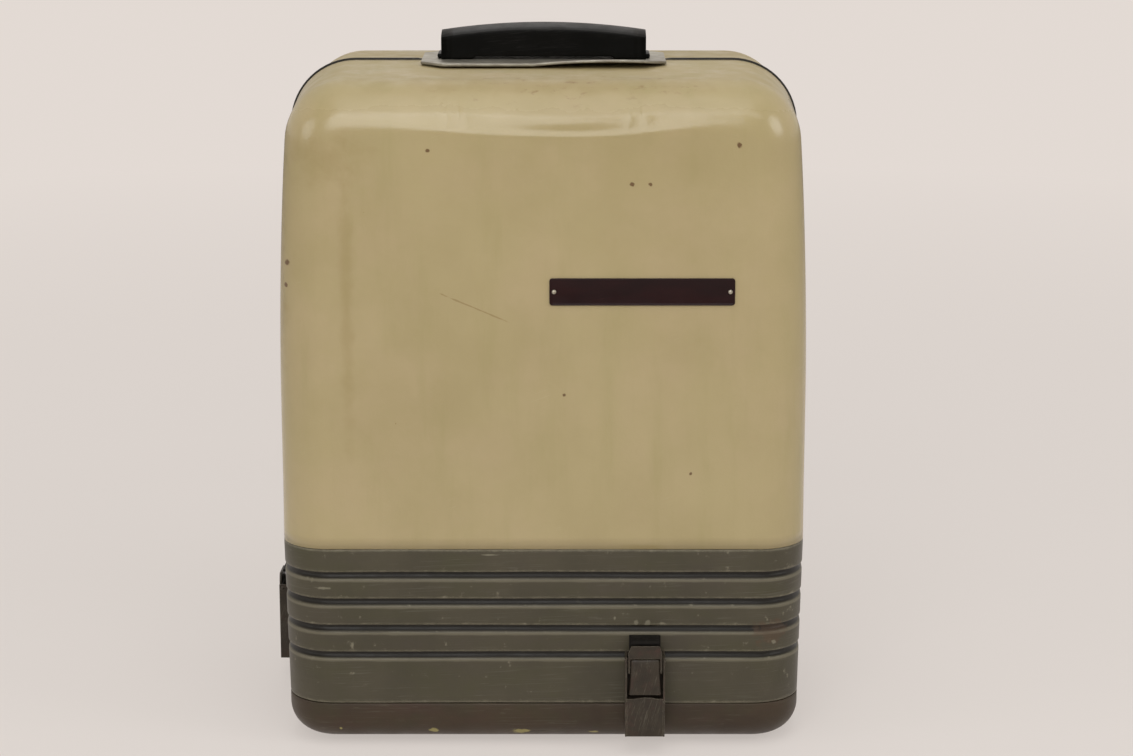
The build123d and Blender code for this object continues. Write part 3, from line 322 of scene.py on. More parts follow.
class Finish:
    """A material whose colour is laid on in layers, each by a mask and with a strength."""

    def __init__(self, name, colour, **shine):
        """Starts with a plain colour, and plain values on the shader."""
        self.material, self.tree, self.shader = new_material(name, **shine)
        self.colour = colour

    def lay(self, over, mask, strength=1.0):
        """A layer by any mask."""
        self.colour = blend_in(self.tree, self.colour, over, mask, strength)

    def cloud(self, over, size, strength=1.0, cover=0.5, softness=0.25, **more):
        """Cloudy patches of a size."""
        more.update(Size=size, Cover=cover, Softness=softness)
        self.lay(over, use(self.tree, "Cloudy patches", **more), strength)

    def scratch(self, over, strength, length, width, turn, share):
        """Fine scratches that run mostly one way."""
        fine = use(self.tree, "Fine scratches", Length=length, Width=width, Turn=turn, Share=share)
        self.lay(over, fine, strength)

    def wear(self, over, strength, radius, wear, grain):
        """Wear along the edges of a piece."""
        worn = use(self.tree, "Worn edges", Radius=radius, Wear=wear, Grain=grain)
        self.lay(over, worn, strength)

    def mark(self, over, strength, places, **inputs):
        """Marks, each with a centre and a reach."""
        for centre, reach in places:
            mark = use(self.tree, "Placed mark", Centre=centre, Reach=reach, **inputs)
            self.lay(over, mark, strength)

    def finish(self, low, high, size, skin, relief, dust=None):
        """Roughness that wanders from low to high in patches, under a fine skin in relief."""
        dull = use(self.tree, "Cloudy patches", Size=size, Cover=0.5, Softness=0.3, Shift=7.7)
        roughness = ramp(self.tree, dull, 0.0, 1.0, low, high)
        if dust is not None:
            roughness = ramp(self.tree, dust, 0.0, 1.0, roughness, 0.7)
        self.tree.links.new(self.colour, self.shader.inputs["Base Color"])
        self.tree.links.new(roughness, self.shader.inputs["Roughness"])
        height = use(self.tree, "Enamel skin", Size=skin)
        bump = put(self.tree, "Bump", {"Height": height, "Strength": 1.0, "Distance": relief})
        self.tree.links.new(bump.outputs["Normal"], self.shader.inputs["Normal"])


rust = (0.105, 0.045, 0.018)
beige = Finish("beige_enamel", (0.415, 0.335, 0.172))
beige.cloud((0.37, 0.295, 0.145), 0.11, softness=0.22)
beige.cloud((0.45, 0.345, 0.20), 0.045, 0.45, cover=0.42, softness=0.2, Shift=5.3)
beige.cloud((0.30, 0.26, 0.10), 0.02, 0.35, cover=0.36, softness=0.16, Stretch=(1, 1, 7), Shift=2.2)
# The first three marks darken the front and the side near the left edge, the fourth stains the
# front of the top, and the fifth darkens the back of the top as painted shade.
for centre, reach, strength in (
    ((-0.110, -0.102, 0.255), (0.006, 0.02, 0.10), 0.30),
    ((-0.150, -0.070, 0.285), (0.010, 0.03, 0.10), 0.55),
    ((-0.118, -0.095, 0.345), (0.035, 0.02, 0.018), 0.35),
    ((0.0, -0.080, 0.385), (0.13, 0.022, 0.010), 0.35),
    ((0.0, 0.055, 0.388), (0.17, 0.060, 0.030), 0.60),
):
    beige.mark((0.27, 0.195, 0.07), strength, [(centre, reach)], Ragged=0.35, Grain=0.012,
               Softness=0.9)
top_band = use(beige.tree, "Placed mark", Centre=(0.01, -0.078, 0.386), Reach=(0.11, 0.03, 0.02),
               Ragged=0.4, Grain=0.02, Softness=0.8)
freckle = use(beige.tree, "Cloudy patches", Size=0.004, Stretch=(2, 1, 1), Cover=0.36,
              Softness=0.07, Shift=1.1)
beige.lay((0.21, 0.12, 0.045), calc(beige.tree, "MULTIPLY", top_band, freckle), 0.6)
spots = use(beige.tree, "Rust spots", Spacing=0.017, Radius=0.0007, Share=0.16)
beige.lay((0.20, 0.125, 0.05), spots, 0.75)
specks = (
    ((0.0497, -0.102, 0.3311), 0.0016), ((0.0598, -0.102, 0.3311), 0.0014),
    ((0.1090, -0.102, 0.3530), 0.0018), ((-0.0636, -0.102, 0.3500), 0.0014),
    ((-0.1440, -0.093, 0.2850), 0.0022), ((-0.1450, -0.090, 0.2720), 0.0016),
    ((0.0120, -0.102, 0.2110), 0.0012), ((0.0840, -0.102, 0.1650), 0.0012),
)
specks = [(centre, (radius, 0.02, radius)) for centre, radius in specks]
beige.mark(rust, 0.85, specks, Ragged=0.25, Grain=0.002)
long_scratch = ((-0.038, -0.102, 0.2610), (0.025, 0.02, 0.0006))
beige.mark((0.25, 0.17, 0.07), 0.6, [long_scratch], Turn=radians(-23), Ragged=0.5, Grain=0.005)
beige.scratch((0.48, 0.40, 0.25), 0.35, 0.06, 0.0006, 0.35, 0.33)
beige.wear(rust, 0.6, 0.0012, 0.2, 0.003)
dust = use(beige.tree, "Settled dust", Amount=1.0, Size=0.015)
beige.finish(0.17, 0.27, 0.03, 0.0016, 0.00006, dust)

case_half_width = 0.1535
case_half_depth = 0.102
shell_foot = 0.1204
straight_top = 0.1984
case_top = 0.3892
lean_radius = 2.2
top_corner_radius = 0.038
front_edge_radius = 0.028
seam_half = 0.0015
skirt_lean = 0.0019
skirt_height = 0.0928
sheet = 0.0012
draft = radians(2)
leg_x = 0.050
leg_hole = 0.0039
straight_steps = 11
lean_steps = 15
corner_steps = 16
side_rows = 9
edge_rows = 30


def clamp(value):
    """Holds a value between 0 and 1."""
    return min(1, max(0, value))


def arc(x, z, radius, start, end, steps):
    """Points round a centre from one angle to another, each with its outward normal."""
    angles = [start + (end - start) * step / steps for step in range(steps + 1)]
    return [(x + radius * cos(a), z + radius * sin(a), cos(a), sin(a)) for a in angles]


def cover_outline():
    """The case seen from the front, from its left foot over the top to its right foot.

    Each point comes with its outward normal: (x, z, normal x, normal z).
    """
    corner_z = case_top - top_corner_radius
    rise = corner_z - straight_top
    run = sqrt((lean_radius - top_corner_radius) ** 2 - rise**2)
    corner_x = case_half_width - lean_radius + run
    turn = atan2(rise, run)
    right = []
    for step in range(straight_steps):
        z = shell_foot + (straight_top - shell_foot) * step / straight_steps
        right.append((case_half_width, z, 1, 0))
    lean_centre = case_half_width - lean_radius
    right += arc(lean_centre, straight_top, lean_radius, 0, turn, lean_steps)[:-1]
    right += arc(corner_x, corner_z, top_corner_radius, turn, pi / 2, corner_steps)
    level = [0.094, 0.084, 0.074, 0.066, 0.059, 0.0541, 0.0536, 0.0526, 0.0513, 0.05, 0.0487,
             0.0474, 0.0464, 0.0459, 0.041, 0.033, 0.025, 0.0167, 0.0083]
    right += [(x, case_top, 0, 1) for x in level]
    left = [(-x, z, -nx, nz) for x, z, nx, nz in right]
    return left + [(0, case_top, 0, 1)] + right[::-1]


def mesh_object(name, mesh, smooth=True):
    """Makes an object of a drawn mesh."""
    data = bpy.data.meshes.new(name)
    mesh.to_mesh(data)
    mesh.free()
    for face in data.polygons:
        face.use_smooth = smooth
    return link(name, data)


def from_grid(name, rows, closed=False, extra=None, marks=()):
    """A mesh from rows of points, joined row to row; closed joins each row's ends.

    marks gives each row a value, kept on its vertices as the attribute recess.
    """
    mesh = bmesh.new()
    recess = mesh.verts.layers.float.new("recess")
    table = [[mesh.verts.new(p) for p in row] for row in rows]
    for row, mark in zip(table, marks):
        for vertex in row:
            vertex[recess] = mark
    for low, high in zip(table, table[1:]):
        count = len(low)
        for n in range(count if closed else count - 1):
            mesh.faces.new((low[n], low[(n + 1) % count], high[(n + 1) % count], high[n]))
    if extra:
        extra(mesh, table)
    bmesh.ops.remove_doubles(mesh, verts=mesh.verts, dist=1e-6)
    bmesh.ops.recalc_face_normals(mesh, faces=mesh.faces)
    return mesh_object(name, mesh)


def cap_ends(mesh, table):
    """Closes the first and the last row of a grid with a face each."""
    mesh.faces.new(table[0])
    mesh.faces.new(table[-1][::-1])


def thicken(piece, thickness):
    """Gives a sheet its thickness, on the side away from its normals."""
    solid = piece.modifiers.new("thickness", "SOLIDIFY")
    solid.thickness = thickness
    solid.offset = -1
    return piece


def round_edges(piece, width):
    """Breaks the sharp edges of a piece."""
    rounding = piece.modifiers.new("rounding", "BEVEL")
    rounding.width = width
    rounding.segments = 2
    rounding.limit_method = "ANGLE"


def dress(piece, finish, body, slot, *stands_for):
    """Gives a piece its finish and its body, and hides the solids that it stands for. The slot is
    not used.
    """
    piece.data.materials.clear()
    piece.data.materials.append(finish.material)
    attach(piece, body)
    if stands_for:
        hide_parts(*stands_for)
    return piece


flat_height = 0.0115
flat_middle = 0.018
flat_reach_left = 0.135
flat_reach_right = 0.085
flat_lean = radians(25)
flat_hollow = radians(3.5)
flat_ease = 0.006
flat_blend = 0.003
dent_depth = 0.00035
dent_seam_gap = 0.004
dent_seam_fade = 0.02
dent_foot_fade = 0.03


def flattening(x, travel):
    """How far the front-top rounding is pressed in, at a distance down from the top.

    A lens-shaped strip in it lies almost flat, at one lean and a little hollow. Above it
    the surface eases in, and below it the strip meets the face in a soft ridge.
    """
    reach = flat_reach_left if x < flat_middle else flat_reach_right
    height = flat_height * max(0, 1 - ((x - flat_middle) / reach) ** 2)
    if height < 0.0001:
        return 0
    hollow = flat_hollow * height / flat_height
    start = front_edge_radius * (pi / 2 - flat_lean)
    depth = height**2 / (2 * front_edge_radius) - 2 * hollow * height / pi
    depth += height / front_edge_radius * flat_blend / 2
    if travel < start:
        share = max(0, (travel - flat_ease) / (start - flat_ease))
        return depth * share * share * (3 - 2 * share)
    down = min(travel - start, height)
    depth -= down**2 / (2 * front_edge_radius)
    depth += hollow * height / pi * (1 - cos(pi * down / height))
    share = clamp((travel - start - height) / flat_blend)
    return depth - height / front_edge_radius * flat_blend * (share - share**3 + share**4 / 2)


def make_shell(name, side):
    """One pressed shell: side -1 is the front, 1 the back."""
    outline = cover_outline()
    depth_c = case_half_depth - front_edge_radius
    inset_c = tan(draft) * (depth_c - seam_half) + front_edge_radius / cos(draft)
    sections = []
    reach = depth_c + front_edge_radius * sin(draft)
    for step in range(side_rows):
        depth = seam_half + (reach - seam_half) * (step / side_rows) ** 1.2
        sections.append((depth, tan(draft) * (depth - seam_half)))
    for step in range(edge_rows + 1):
        a = draft + (pi / 2 - draft) * step / edge_rows
        sections.append((depth_c + front_edge_radius * sin(a),
                         inset_c - front_edge_radius * cos(a)))
    rows = []
    for depth, inset in sections:
        row = []
        for x, z, nx, nz in outline:
            y = depth
            if depth == seam_half:
                gap = leg_hole**2 - (abs(x) - leg_x) ** 2
                y = max(seam_half, sqrt(gap)) if gap > 0 and z > case_top - 1e-6 else seam_half
            row.append(Vector((x - inset * nx, side * y, z - inset * nz)))
        rows.append(row)

    last = rows[-1]
    tall = straight_steps + lean_steps + corner_steps // 2
    wide = len(last) - 1 - 2 * tall

    def fill(mesh, table):
        """Fills the flat face with a patch whose corners are halfway round the top corners."""
        ring = table[-1]
        start, end = ring[0].co.copy(), ring[-1].co.copy()
        grid = {}
        top_left, top_right = ring[tall].co.copy(), ring[tall + wide].co.copy()
        for i in range(wide + 1):
            for j in range(tall + 1):
                s, t = i / wide, j / tall
                if i == 0:
                    grid[i, j] = ring[j]
                elif i == wide:
                    grid[i, j] = ring[len(ring) - 1 - j]
                elif j == tall:
                    grid[i, j] = ring[tall + i]
                else:
                    top = ring[tall + i].co
                    low = start.lerp(end, (top.x - top_left.x) / (top_right.x - top_left.x))
                    across = ring[j].co.lerp(ring[len(ring) - 1 - j].co, s)
                    along = low.lerp(top, t)
                    flat = (start.lerp(end, s)).lerp(top_left.lerp(top_right, s), t)
                    grid[i, j] = mesh.verts.new(across + along - flat)
        for i in range(wide):
            for j in range(tall):
                mesh.faces.new((grid[i, j], grid[i + 1, j], grid[i + 1, j + 1], grid[i, j + 1]))

    shell = from_grid(name, rows, extra=fill)
    centre_y, centre_z = -depth_c, case_top - inset_c
    for vertex in shell.data.vertices:
        p = vertex.co.copy()
        dented = clamp((abs(p.y) - dent_seam_gap) / dent_seam_fade)
        dented *= clamp((p.z - shell_foot) / dent_foot_fade)
        sink = dent_depth * dented * (0.5 + 0.5 * noise.noise(p * 13))
        if side < 0 and p.y < centre_y:
            if p.z > centre_z:
                travel = front_edge_radius * (pi / 2 - atan2(p.z - centre_z, centre_y - p.y))
            else:
                travel = front_edge_radius * pi / 2 + centre_z - p.z
            sink += flattening(p.x, travel)
        vertex.co = p - vertex.normal * sink
    thicken(shell, sheet)
    return dress(shell, beige, "cover", "beige_paint", name.replace("pressed_", ""))


make_shell("pressed_front_shell", -1)
make_shell("pressed_rear_shell", 1)

# The skirt is a deep steel band with four pressed grooves, enamelled dark olive. A strip
# behind it joins it to the shells. Its edges are rubbed pale, partly by wear and partly as
# painted highlight on the groove lips. A pale band along the lower lip of each groove is
# painted highlight, the hollows of the grooves are painted shade, and a knock at the right
# end has let rust in.
olive = Finish("olive_enamel", (0.072, 0.061, 0.038), Specular_IOR_Level=0.35)
olive.cloud((0.055, 0.047, 0.029), 0.05)
olive.cloud((0.060, 0.055, 0.026), 0.022, 0.55, cover=0.42, softness=0.14, Stretch=(2, 2, 1),
            Shift=4.4)
olive.cloud((0.066, 0.050, 0.041), 0.03, 0.4, cover=0.38, softness=0.14, Stretch=(2, 2, 1),
            Shift=8.4)
olive.scratch((0.12, 0.11, 0.08), 0.4, 0.05, 0.0006, 0.04, 0.5)
# Edges rubbed pale: partly worn paint, partly painted highlight along the groove lips.
olive.wear((0.24, 0.215, 0.15), 0.8, 0.0022, 0.68, 0.006)
# Pale bands along the lower lip of each groove: painted highlight.
lip_highlight_bands = [((0, 0, z), (3, 3, 0.0013)) for z in (0.0538, 0.0697, 0.0856, 0.1015)]
olive.mark((0.15, 0.132, 0.09), 0.75, lip_highlight_bands, Ragged=0.22, Grain=0.012, Softness=0.8)
# The hollows of the grooves are laid near black by their depth: painted shade.
deep = put(olive.tree, "Attribute", attribute_name="recess").outputs["Fac"]
olive.lay((0.008, 0.006, 0.004), between(olive.tree, deep, 0.25, 0.8), 0.9)
knock = ((0.131, -0.100, 0.070), (0.012, 0.02, 0.009))
olive.mark((0.085, 0.050, 0.028), 0.55, [knock], Ragged=0.5, Grain=0.004)
scrapes = (
    ((-0.0300, -0.102, 0.1170), (0.006, 0.02, 0.0006)),
    ((-0.1260, -0.099, 0.0970), (0.006, 0.02, 0.0009)),
    ((0.0600, -0.102, 0.0760), (0.0020, 0.02, 0.0024)),
    ((0.0535, -0.102, 0.0765), (0.0015, 0.02, 0.0020)),
    ((0.1330, -0.101, 0.0640), (0.0016, 0.02, 0.0016)),
    ((0.0410, -0.102, 0.0790), (0.0010, 0.02, 0.0014)),
)
olive.mark((0.22, 0.20, 0.14), 0.65, scrapes, Ragged=0.35, Grain=0.002)
olive.finish(0.36, 0.52, 0.02, 0.0014, 0.00008)

skirt_bottom = 0.0276
plan_radius = 0.028
plan_side_steps = 9
plan_round_steps = 14
plan_front_steps = 16
wobble_grain = 16


def plan_curve():
    """The case seen from above, once round: (x, y, normal x, normal y) at each point."""
    centre_y = case_half_depth - plan_radius
    centre_x = case_half_width - tan(draft) * (centre_y - seam_half) - plan_radius / cos(draft)
    quarter = [(case_half_width, 0, 1, 0)]
    touch = centre_y + plan_radius * sin(draft)
    for step in range(1, plan_side_steps):
        y = touch * step / plan_side_steps
        x = case_half_width - tan(draft) * max(0, y - seam_half)
        quarter.append((x, y, cos(draft), sin(draft)))
    quarter += arc(centre_x, centre_y, plan_radius, draft, pi / 2, plan_round_steps)
    for step in range(1, plan_front_steps + 1):
        quarter.append((centre_x * (1 - step / plan_front_steps), case_half_depth, 0, 1))
    back = [(-x, y, -nx, ny) for x, y, nx, ny in quarter[-2::-1]]
    half = quarter + back
    front = [(x, -y, nx, -ny) for x, y, nx, ny in half[-2:0:-1]]
    return half + front


def side_lean(z):
    """How far the sides lean in at a height: not above the skirt, and most from its bottom down."""
    return skirt_lean * clamp((skirt_bottom + skirt_height - z) / skirt_height)


def sweep_plan(name, profile, wobble=0.0, extra=None):
    """Carries a profile of (inset, height) round the plan of the case.

    The lean fades out across the middle of the front and back, so that they stay flat.
    """
    full_lean_x = 0.12
    deep = 0.0018
    rows = []
    for inset, z in profile:
        row = []
        for x, y, nx, ny in plan_curve():
            lean = side_lean(z) * min(1, max(-1, x / full_lean_x))
            p = Vector((x - lean - inset * nx, y - inset * ny, z))
            if wobble:
                spot = (x * wobble_grain, y * wobble_grain, round(z * 70) * 3.1)
                p.z += wobble * noise.noise(Vector(spot))
            row.append(p)
        rows.append(row)
    marks = [min(1, inset / deep) for inset, _ in profile]
    return from_grid(name, rows, closed=True, extra=extra, marks=marks)


groove_profile = [(-3.3, 0.0), (-2.9, 0.02), (-2.5, 0.10), (-2.1, 0.40), (-1.7, 0.90), (-1.2, 1.45),
                  (-0.7, 1.90), (-0.1, 2.22), (0.5, 2.38), (1.2, 2.40), (1.6, 2.30), (1.85, 1.90),
                  (2.0, 1.20), (2.12, 0.42), (2.34, 0.08), (2.9, 0.0)]
groove_first = 0.0292
groove_pitch = 0.0159
profile = [(0.0011, skirt_bottom + 0.0002), (0.0004, skirt_bottom + 0.00005),
           (0.00008, skirt_bottom + 0.0004), (0.0, skirt_bottom + 0.0012),
           (0.0, skirt_bottom + 0.008), (0.0, skirt_bottom + 0.018)]
for groove in range(4):
    middle = skirt_bottom + groove_first + groove * groove_pitch
    profile += [(0.001 * inset, middle + 0.001 * rise) for rise, inset in groove_profile]
profile += [(0.0, 0.1110), (0.0, 0.1150), (0.0, 0.1196), (0.00006, 0.12005), (0.0003, 0.1203)]
skirt = sweep_plan("pressed_skirt", profile, wobble=0.0003)
thicken(skirt, sheet)
dress(skirt, olive, "cover", "olive_paint", "skirt")
strip_inset = 0.00125
strip_foot = 0.1114
strip_top = 0.1294
strip_profile = [(strip_inset, strip_foot), (strip_inset, strip_top)]
joint_strip = sweep_plan("skirt_joint_strip", strip_profile)
thicken(joint_strip, sheet)
dress(joint_strip, olive, "cover", "olive_paint")

# A rolled moulding covers the joint of the two shells. Its enamel is almost black, darkened
# further as painted shade for the shadow along the joint. It is worn in spots, and it dips
# under the handle plate at each side.
bead_profile = [(-0.0015, -0.0012), (-0.0015, 0.0), (-0.0013, 0.0006), (-0.0008, 0.00098),
                (0.0, 0.0011), (0.0008, 0.00098), (0.0013, 0.0006), (0.0015, 0.0),
                (0.0015, -0.0012)]
under_plate = 0.0718
inner_end = 0.0541


def make_bead(name, side):
    """The moulding up one side and over its corner."""
    outline = [p for p in cover_outline() if side * p[0] >= inner_end - 1e-6]
    if side > 0:
        outline = outline[::-1]
    rows = []
    for x, z, nx, nz in outline:
        tucked = abs(x) < under_plate and z > case_top - 1e-6
        row = []
        for y, proud in bead_profile:
            proud = min(proud, -0.0001) if tucked else proud
            row.append((x + proud * nx, y, z + proud * nz))
        rows.append(row)
    return from_grid(name, rows, closed=True, extra=cap_ends)


# The near-black colour is partly the enamel and partly painted shade along the joint.
bead_paint_and_shade = Finish("bead_enamel_and_shade", (0.017, 0.015, 0.010), Specular_IOR_Level=0.3)
bead_paint_and_shade.cloud((0.011, 0.009, 0.007), 0.02)
bead_paint_and_shade.cloud((0.09, 0.08, 0.058), 0.009, 0.35, cover=0.36, softness=0.08, Shift=2.9)
bead_paint_and_shade.finish(0.5, 0.7, 0.012, 0.001, 0.00005)
dress(make_bead("left_bead", -1), bead_paint_and_shade, "cover", "bead_trim", "seam_bead")
dress(make_bead("right_bead", 1), bead_paint_and_shade, "cover", "bead_trim", "seam_bead")

# The tray is one shallow steel pressing with a round lower edge. Its brown enamel is rubbed
# and chipped where the case is set down.
brown = Finish("brown_enamel", (0.056, 0.036, 0.019), Specular_IOR_Level=0.35)
brown.cloud((0.040, 0.026, 0.015), 0.04, softness=0.2, Stretch=(2, 2, 1))
brown.cloud((0.042, 0.036, 0.016), 0.016, 0.5, cover=0.4, softness=0.14, Shift=4.4)
brown.cloud((0.058, 0.029, 0.020), 0.02, 0.5, cover=0.36, softness=0.12, Stretch=(2, 2, 1),
            Shift=8.4)
brown.scratch((0.11, 0.095, 0.065), 0.35, 0.03, 0.0006, 0.02, 0.5)
brown.wear((0.15, 0.12, 0.075), 0.6, 0.0010, 0.35, 0.006)
chips = (
    ((-0.0640, -0.098, 0.0095), (0.0036, 0.02, 0.0022)),
    ((-0.0130, -0.098, 0.0085), (0.0060, 0.02, 0.0022)),
    ((-0.1180, -0.098, 0.0110), (0.0010, 0.02, 0.0010)),
    ((0.0290, -0.098, 0.0080), (0.0030, 0.02, 0.0010)),
)
brown.mark((0.42, 0.36, 0.13), 0.8, chips, Ragged=0.35, Grain=0.003)
brown.finish(0.42, 0.6, 0.02, 0.0014, 0.0001)

tray_top = 0.0272
tray_bottom = 0.003
tray_edge_radius = 0.018
tray_floor_inset = 0.026
tray_round_steps = 14
profile = [(0.0011, tray_top), (0.0003, tray_top), (0.0, tray_top - 0.0006),
           (0.0, tray_top - 0.003)]
for step in range(tray_round_steps + 1):
    a = pi / 2 * step / tray_round_steps
    profile.append((tray_edge_radius * (1 - cos(a)), tray_bottom + tray_edge_radius * (1 - sin(a))))
profile.append((tray_floor_inset, tray_bottom))


def close_ring(mesh, table):
    """Closes the pan with one flat face."""
    mesh.faces.new(table[-1])


tray = sweep_plan("pressed_tray", profile, extra=close_ring)
thicken(tray, sheet)
dress(tray, brown, "tray", "tray_paint", "base_tray")

# The grip is a black phenolic moulding, crowned along and across its top and arched a little
# below. Handling has polished it, and where it faces up it is laid lighter, partly by dust and
# partly as painted light on its crown.
phenolic = Finish("black_phenolic", (0.0020, 0.0020, 0.0015), Specular_IOR_Level=0.09)
phenolic.cloud((0.0040, 0.0037, 0.0030), 0.012, Stretch=(3, 1, 1))
phenolic.scratch((0.05, 0.046, 0.042), 0.2, 0.02, 0.0004, 0.1, 0.5)
# Lighter where the grip faces up: partly dust, partly painted light on the crown.
dust = use(phenolic.tree, "Settled dust", Amount=0.4, Size=0.02)
phenolic.lay((0.05, 0.046, 0.042), dust, 0.2)
phenolic.finish(0.36, 0.50, 0.01, 0.0012, 0.00004)

grip_low, grip_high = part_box("handle_grip")
grip_half = 0.0595
grip_half_depth = 0.015
grip_end_radius = 0.0055
arch_half = 0.0405
arch_height = 0.0014
arch_ease = 0.0024
end_drop = 0.35
crown_radius = 0.4
dome_radius = 0.042
grip_ridge = 0.0009


def grip_section(x, shrink):
    """The outline of the grip at a place along it, from the front foot over the top."""
    half = grip_half_depth - shrink
    crown = grip_high.z - (crown_radius - sqrt(crown_radius**2 - x**2)) - end_drop * shrink
    rise = clamp((arch_half + arch_ease / 2 - abs(x)) / arch_ease)
    floor = grip_low.z + arch_height * rise * rise * (3 - 2 * rise)
    shoulder = crown - (dome_radius - sqrt(dome_radius**2 - half**2))
    points = [(-half + 0.0008, floor), (-half + 0.0002, floor + 0.0003), (-half, floor + 0.001)]
    tall = shoulder - grip_ridge - floor
    points += [(-half, floor + tall * share) for share in (0.3, 0.65, 0.9)]
    for step in range(5):
        a = pi / 2 * step / 4 * 0.8
        points.append((-half + grip_ridge * (1 - cos(a)),
                       shoulder - grip_ridge + grip_ridge * sin(a)))
    top = []
    for step in range(1, 9):
        y = -(half - grip_ridge) * (1 - step / 8)
        top.append((y, crown - (dome_radius - sqrt(dome_radius**2 - y**2))))
    points += top
    return points + [(-y, z) for y, z in points[-2::-1]]


stations = []
for step in range(9):
    a = pi / 2 * step / 8
    stations.append((grip_half - grip_end_radius * (1 - cos(pi / 2 - a)),
                     grip_end_radius * (1 - sin(a))))
inner = grip_half - grip_end_radius
steps = [inner * (1 - n / 5) + (arch_half + 0.003) * n / 5 for n in range(1, 5)]
steps += [arch_half + n for n in (0.0014, 0.0008, 0, -0.0008, -0.0014)]
steps += [(arch_half - 0.003) * (1 - n / 10) for n in range(0, 11)]
stations += [(x, 0) for x in steps]
right = [(x, shrink) for x, shrink in stations if x > 0]
stations = right + [(0, 0)] + [(-x, shrink) for x, shrink in right[::-1]]
rows = [[(x, y, z) for y, z in grip_section(x, shrink)] for x, shrink in stations]
grip = from_grid("moulded_grip", rows, closed=True, extra=cap_ends)
dress(grip, phenolic, "handle", "moulded_black", "handle_grip")


def rounded_block(name, low, high, radius):
    """A block with all its edges rounded."""
    mesh = bmesh.new()
    bmesh.ops.create_cube(mesh, size=1)
    low, high = Vector(low), Vector(high)
    for vertex in mesh.verts:
        vertex.co = Vector((a + (c + 0.5) * (b - a) for a, b, c in zip(low, high, vertex.co)))
    bmesh.ops.bevel(mesh, geom=mesh.edges, offset=radius, segments=3, affect="EDGES", profile=0.5)
    return mesh_object(name, mesh)


foot_inner = grip_half - 0.006
foot_outer = grip_half + 0.0024
foot_half_depth = 0.010
foot_top = grip_low.z + 0.0026
foot_rounding = 0.0008
for side, name in ((-1, "grip_left_foot"), (1, "grip_right_foot")):
    start, end = sorted((side * foot_inner, side * foot_outer))
    foot = rounded_block(name, (start, -foot_half_depth, grip_low.z),
                         (end, foot_half_depth, foot_top), foot_rounding)
    dress(foot, phenolic, "handle", "moulded_black")

# The plate under the grip is dull nickelled sheet with cut corners. The grip has been
# pulled hard once, and the front edge is bent up a little on the right.
nickel = Finish("dull_nickel", (0.36, 0.34, 0.28), Metallic=0.75)
nickel.cloud((0.24, 0.22, 0.18), 0.012, softness=0.2)
nickel.cloud((0.25, 0.20, 0.12), 0.005, 0.5, cover=0.36, softness=0.1, Shift=3.3)
spots = use(nickel.tree, "Rust spots", Spacing=0.006, Radius=0.0005, Share=0.3)
nickel.lay(rust, spots, 0.7)
nickel.finish(0.36, 0.58, 0.006, 0.0012, 0.00005)

plate_half = 0.071
plate_half_depth = 0.037
plate_cut = 0.013
plate_sheet = 0.0016
bend_height = 0.0024
bend_middle = 0.040
bend_half = 0.046
bend_start = 0.017
bend_run = 0.02


def bend_plate(x, y):
    """How far the plate stands up from the case at a place."""
    front = clamp((-y - bend_start) / bend_run) ** 1.5
    return bend_height * front * max(0, 1 - ((x - bend_middle) / bend_half) ** 2)


cut_start = plate_half - plate_cut
stations = [-plate_half + plate_cut * n / 3 for n in range(3)]
stations += [cut_start * (n / 10 - 1) for n in range(21)]
stations += [plate_half - plate_cut * n / 3 for n in range(2, -1, -1)]
rows = []
for x in stations:
    half = plate_half_depth - max(0, abs(x) - cut_start)
    across = [half * (step / 6 - 1) for step in range(13)]
    rows.append([(x, y, case_top + plate_sheet + bend_plate(x, y)) for y in across])
plate = from_grid("nickelled_plate", rows)
if plate.data.polygons[0].normal.z < 0:
    plate.data.flip_normals()
thicken(plate, plate_sheet)
round_edges(plate, 0.0003)
dress(plate, nickel, "cover", "handle_sheet", "handle_plate")

# The nameplate is a strip of brass sheet with a raised rim, enamelled dark maroon and left
# bare. Two dome-headed rivets hold it.
maroon = Finish("maroon_enamel", (0.017, 0.0020, 0.0022), Specular_IOR_Level=0.25)
maroon.cloud((0.010, 0.0013, 0.0015), 0.01, Stretch=(3, 1, 1))
maroon.wear((0.30, 0.23, 0.14), 0.55, 0.0004, 0.3, 0.003)
maroon.scratch((0.08, 0.03, 0.025), 0.25, 0.02, 0.0004, 0.2, 0.4)
maroon.finish(0.28, 0.42, 0.008, 0.001, 0.00003)

name_low, name_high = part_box("nameplate")
name_x = (name_low.x + name_high.x) / 2
name_z = (name_low.z + name_high.z) / 2
name_half = (name_high.x - name_low.x) / 2
name_rise = (name_high.z - name_low.z) / 2
name_corner = 0.0016


def rounded_frame(half, rise, radius, y):
    """A ring of points round an upright rectangle with round corners."""
    ring = []
    for corner, (sx, sz) in enumerate(((1, 1), (-1, 1), (-1, -1), (1, -1))):
        for step in range(5):
            a = pi / 2 * (corner + step / 4)
            ring.append((name_x + sx * (half - radius) + radius * cos(a), y,
                         name_z + sz * (rise - radius) + radius * sin(a)))
    return ring


rings = []
for inset, y in (
    (0, name_high.y), (0, name_low.y + 0.0002), (0.0002, name_low.y), (0.0007, name_low.y),
    (0.0009, name_low.y + 0.0002), (0.0011, name_low.y + 0.00025),
):
    rings.append(rounded_frame(name_half - inset, name_rise - inset, name_corner - inset / 2, y))
nameplate = from_grid("bare_nameplate", rings, closed=True, extra=cap_ends)
dress(nameplate, maroon, "cover", "nameplate_enamel", "nameplate")

rivet_metal = Finish("rivet_aluminium", (0.60, 0.56, 0.47), Metallic=0.9)
rivet_metal.cloud((0.42, 0.37, 0.28), 0.001, softness=0.2)
rivet_metal.finish(0.3, 0.5, 0.002, 0.0006, 0.00002)


dome_rings = 6
dome_sides = 20


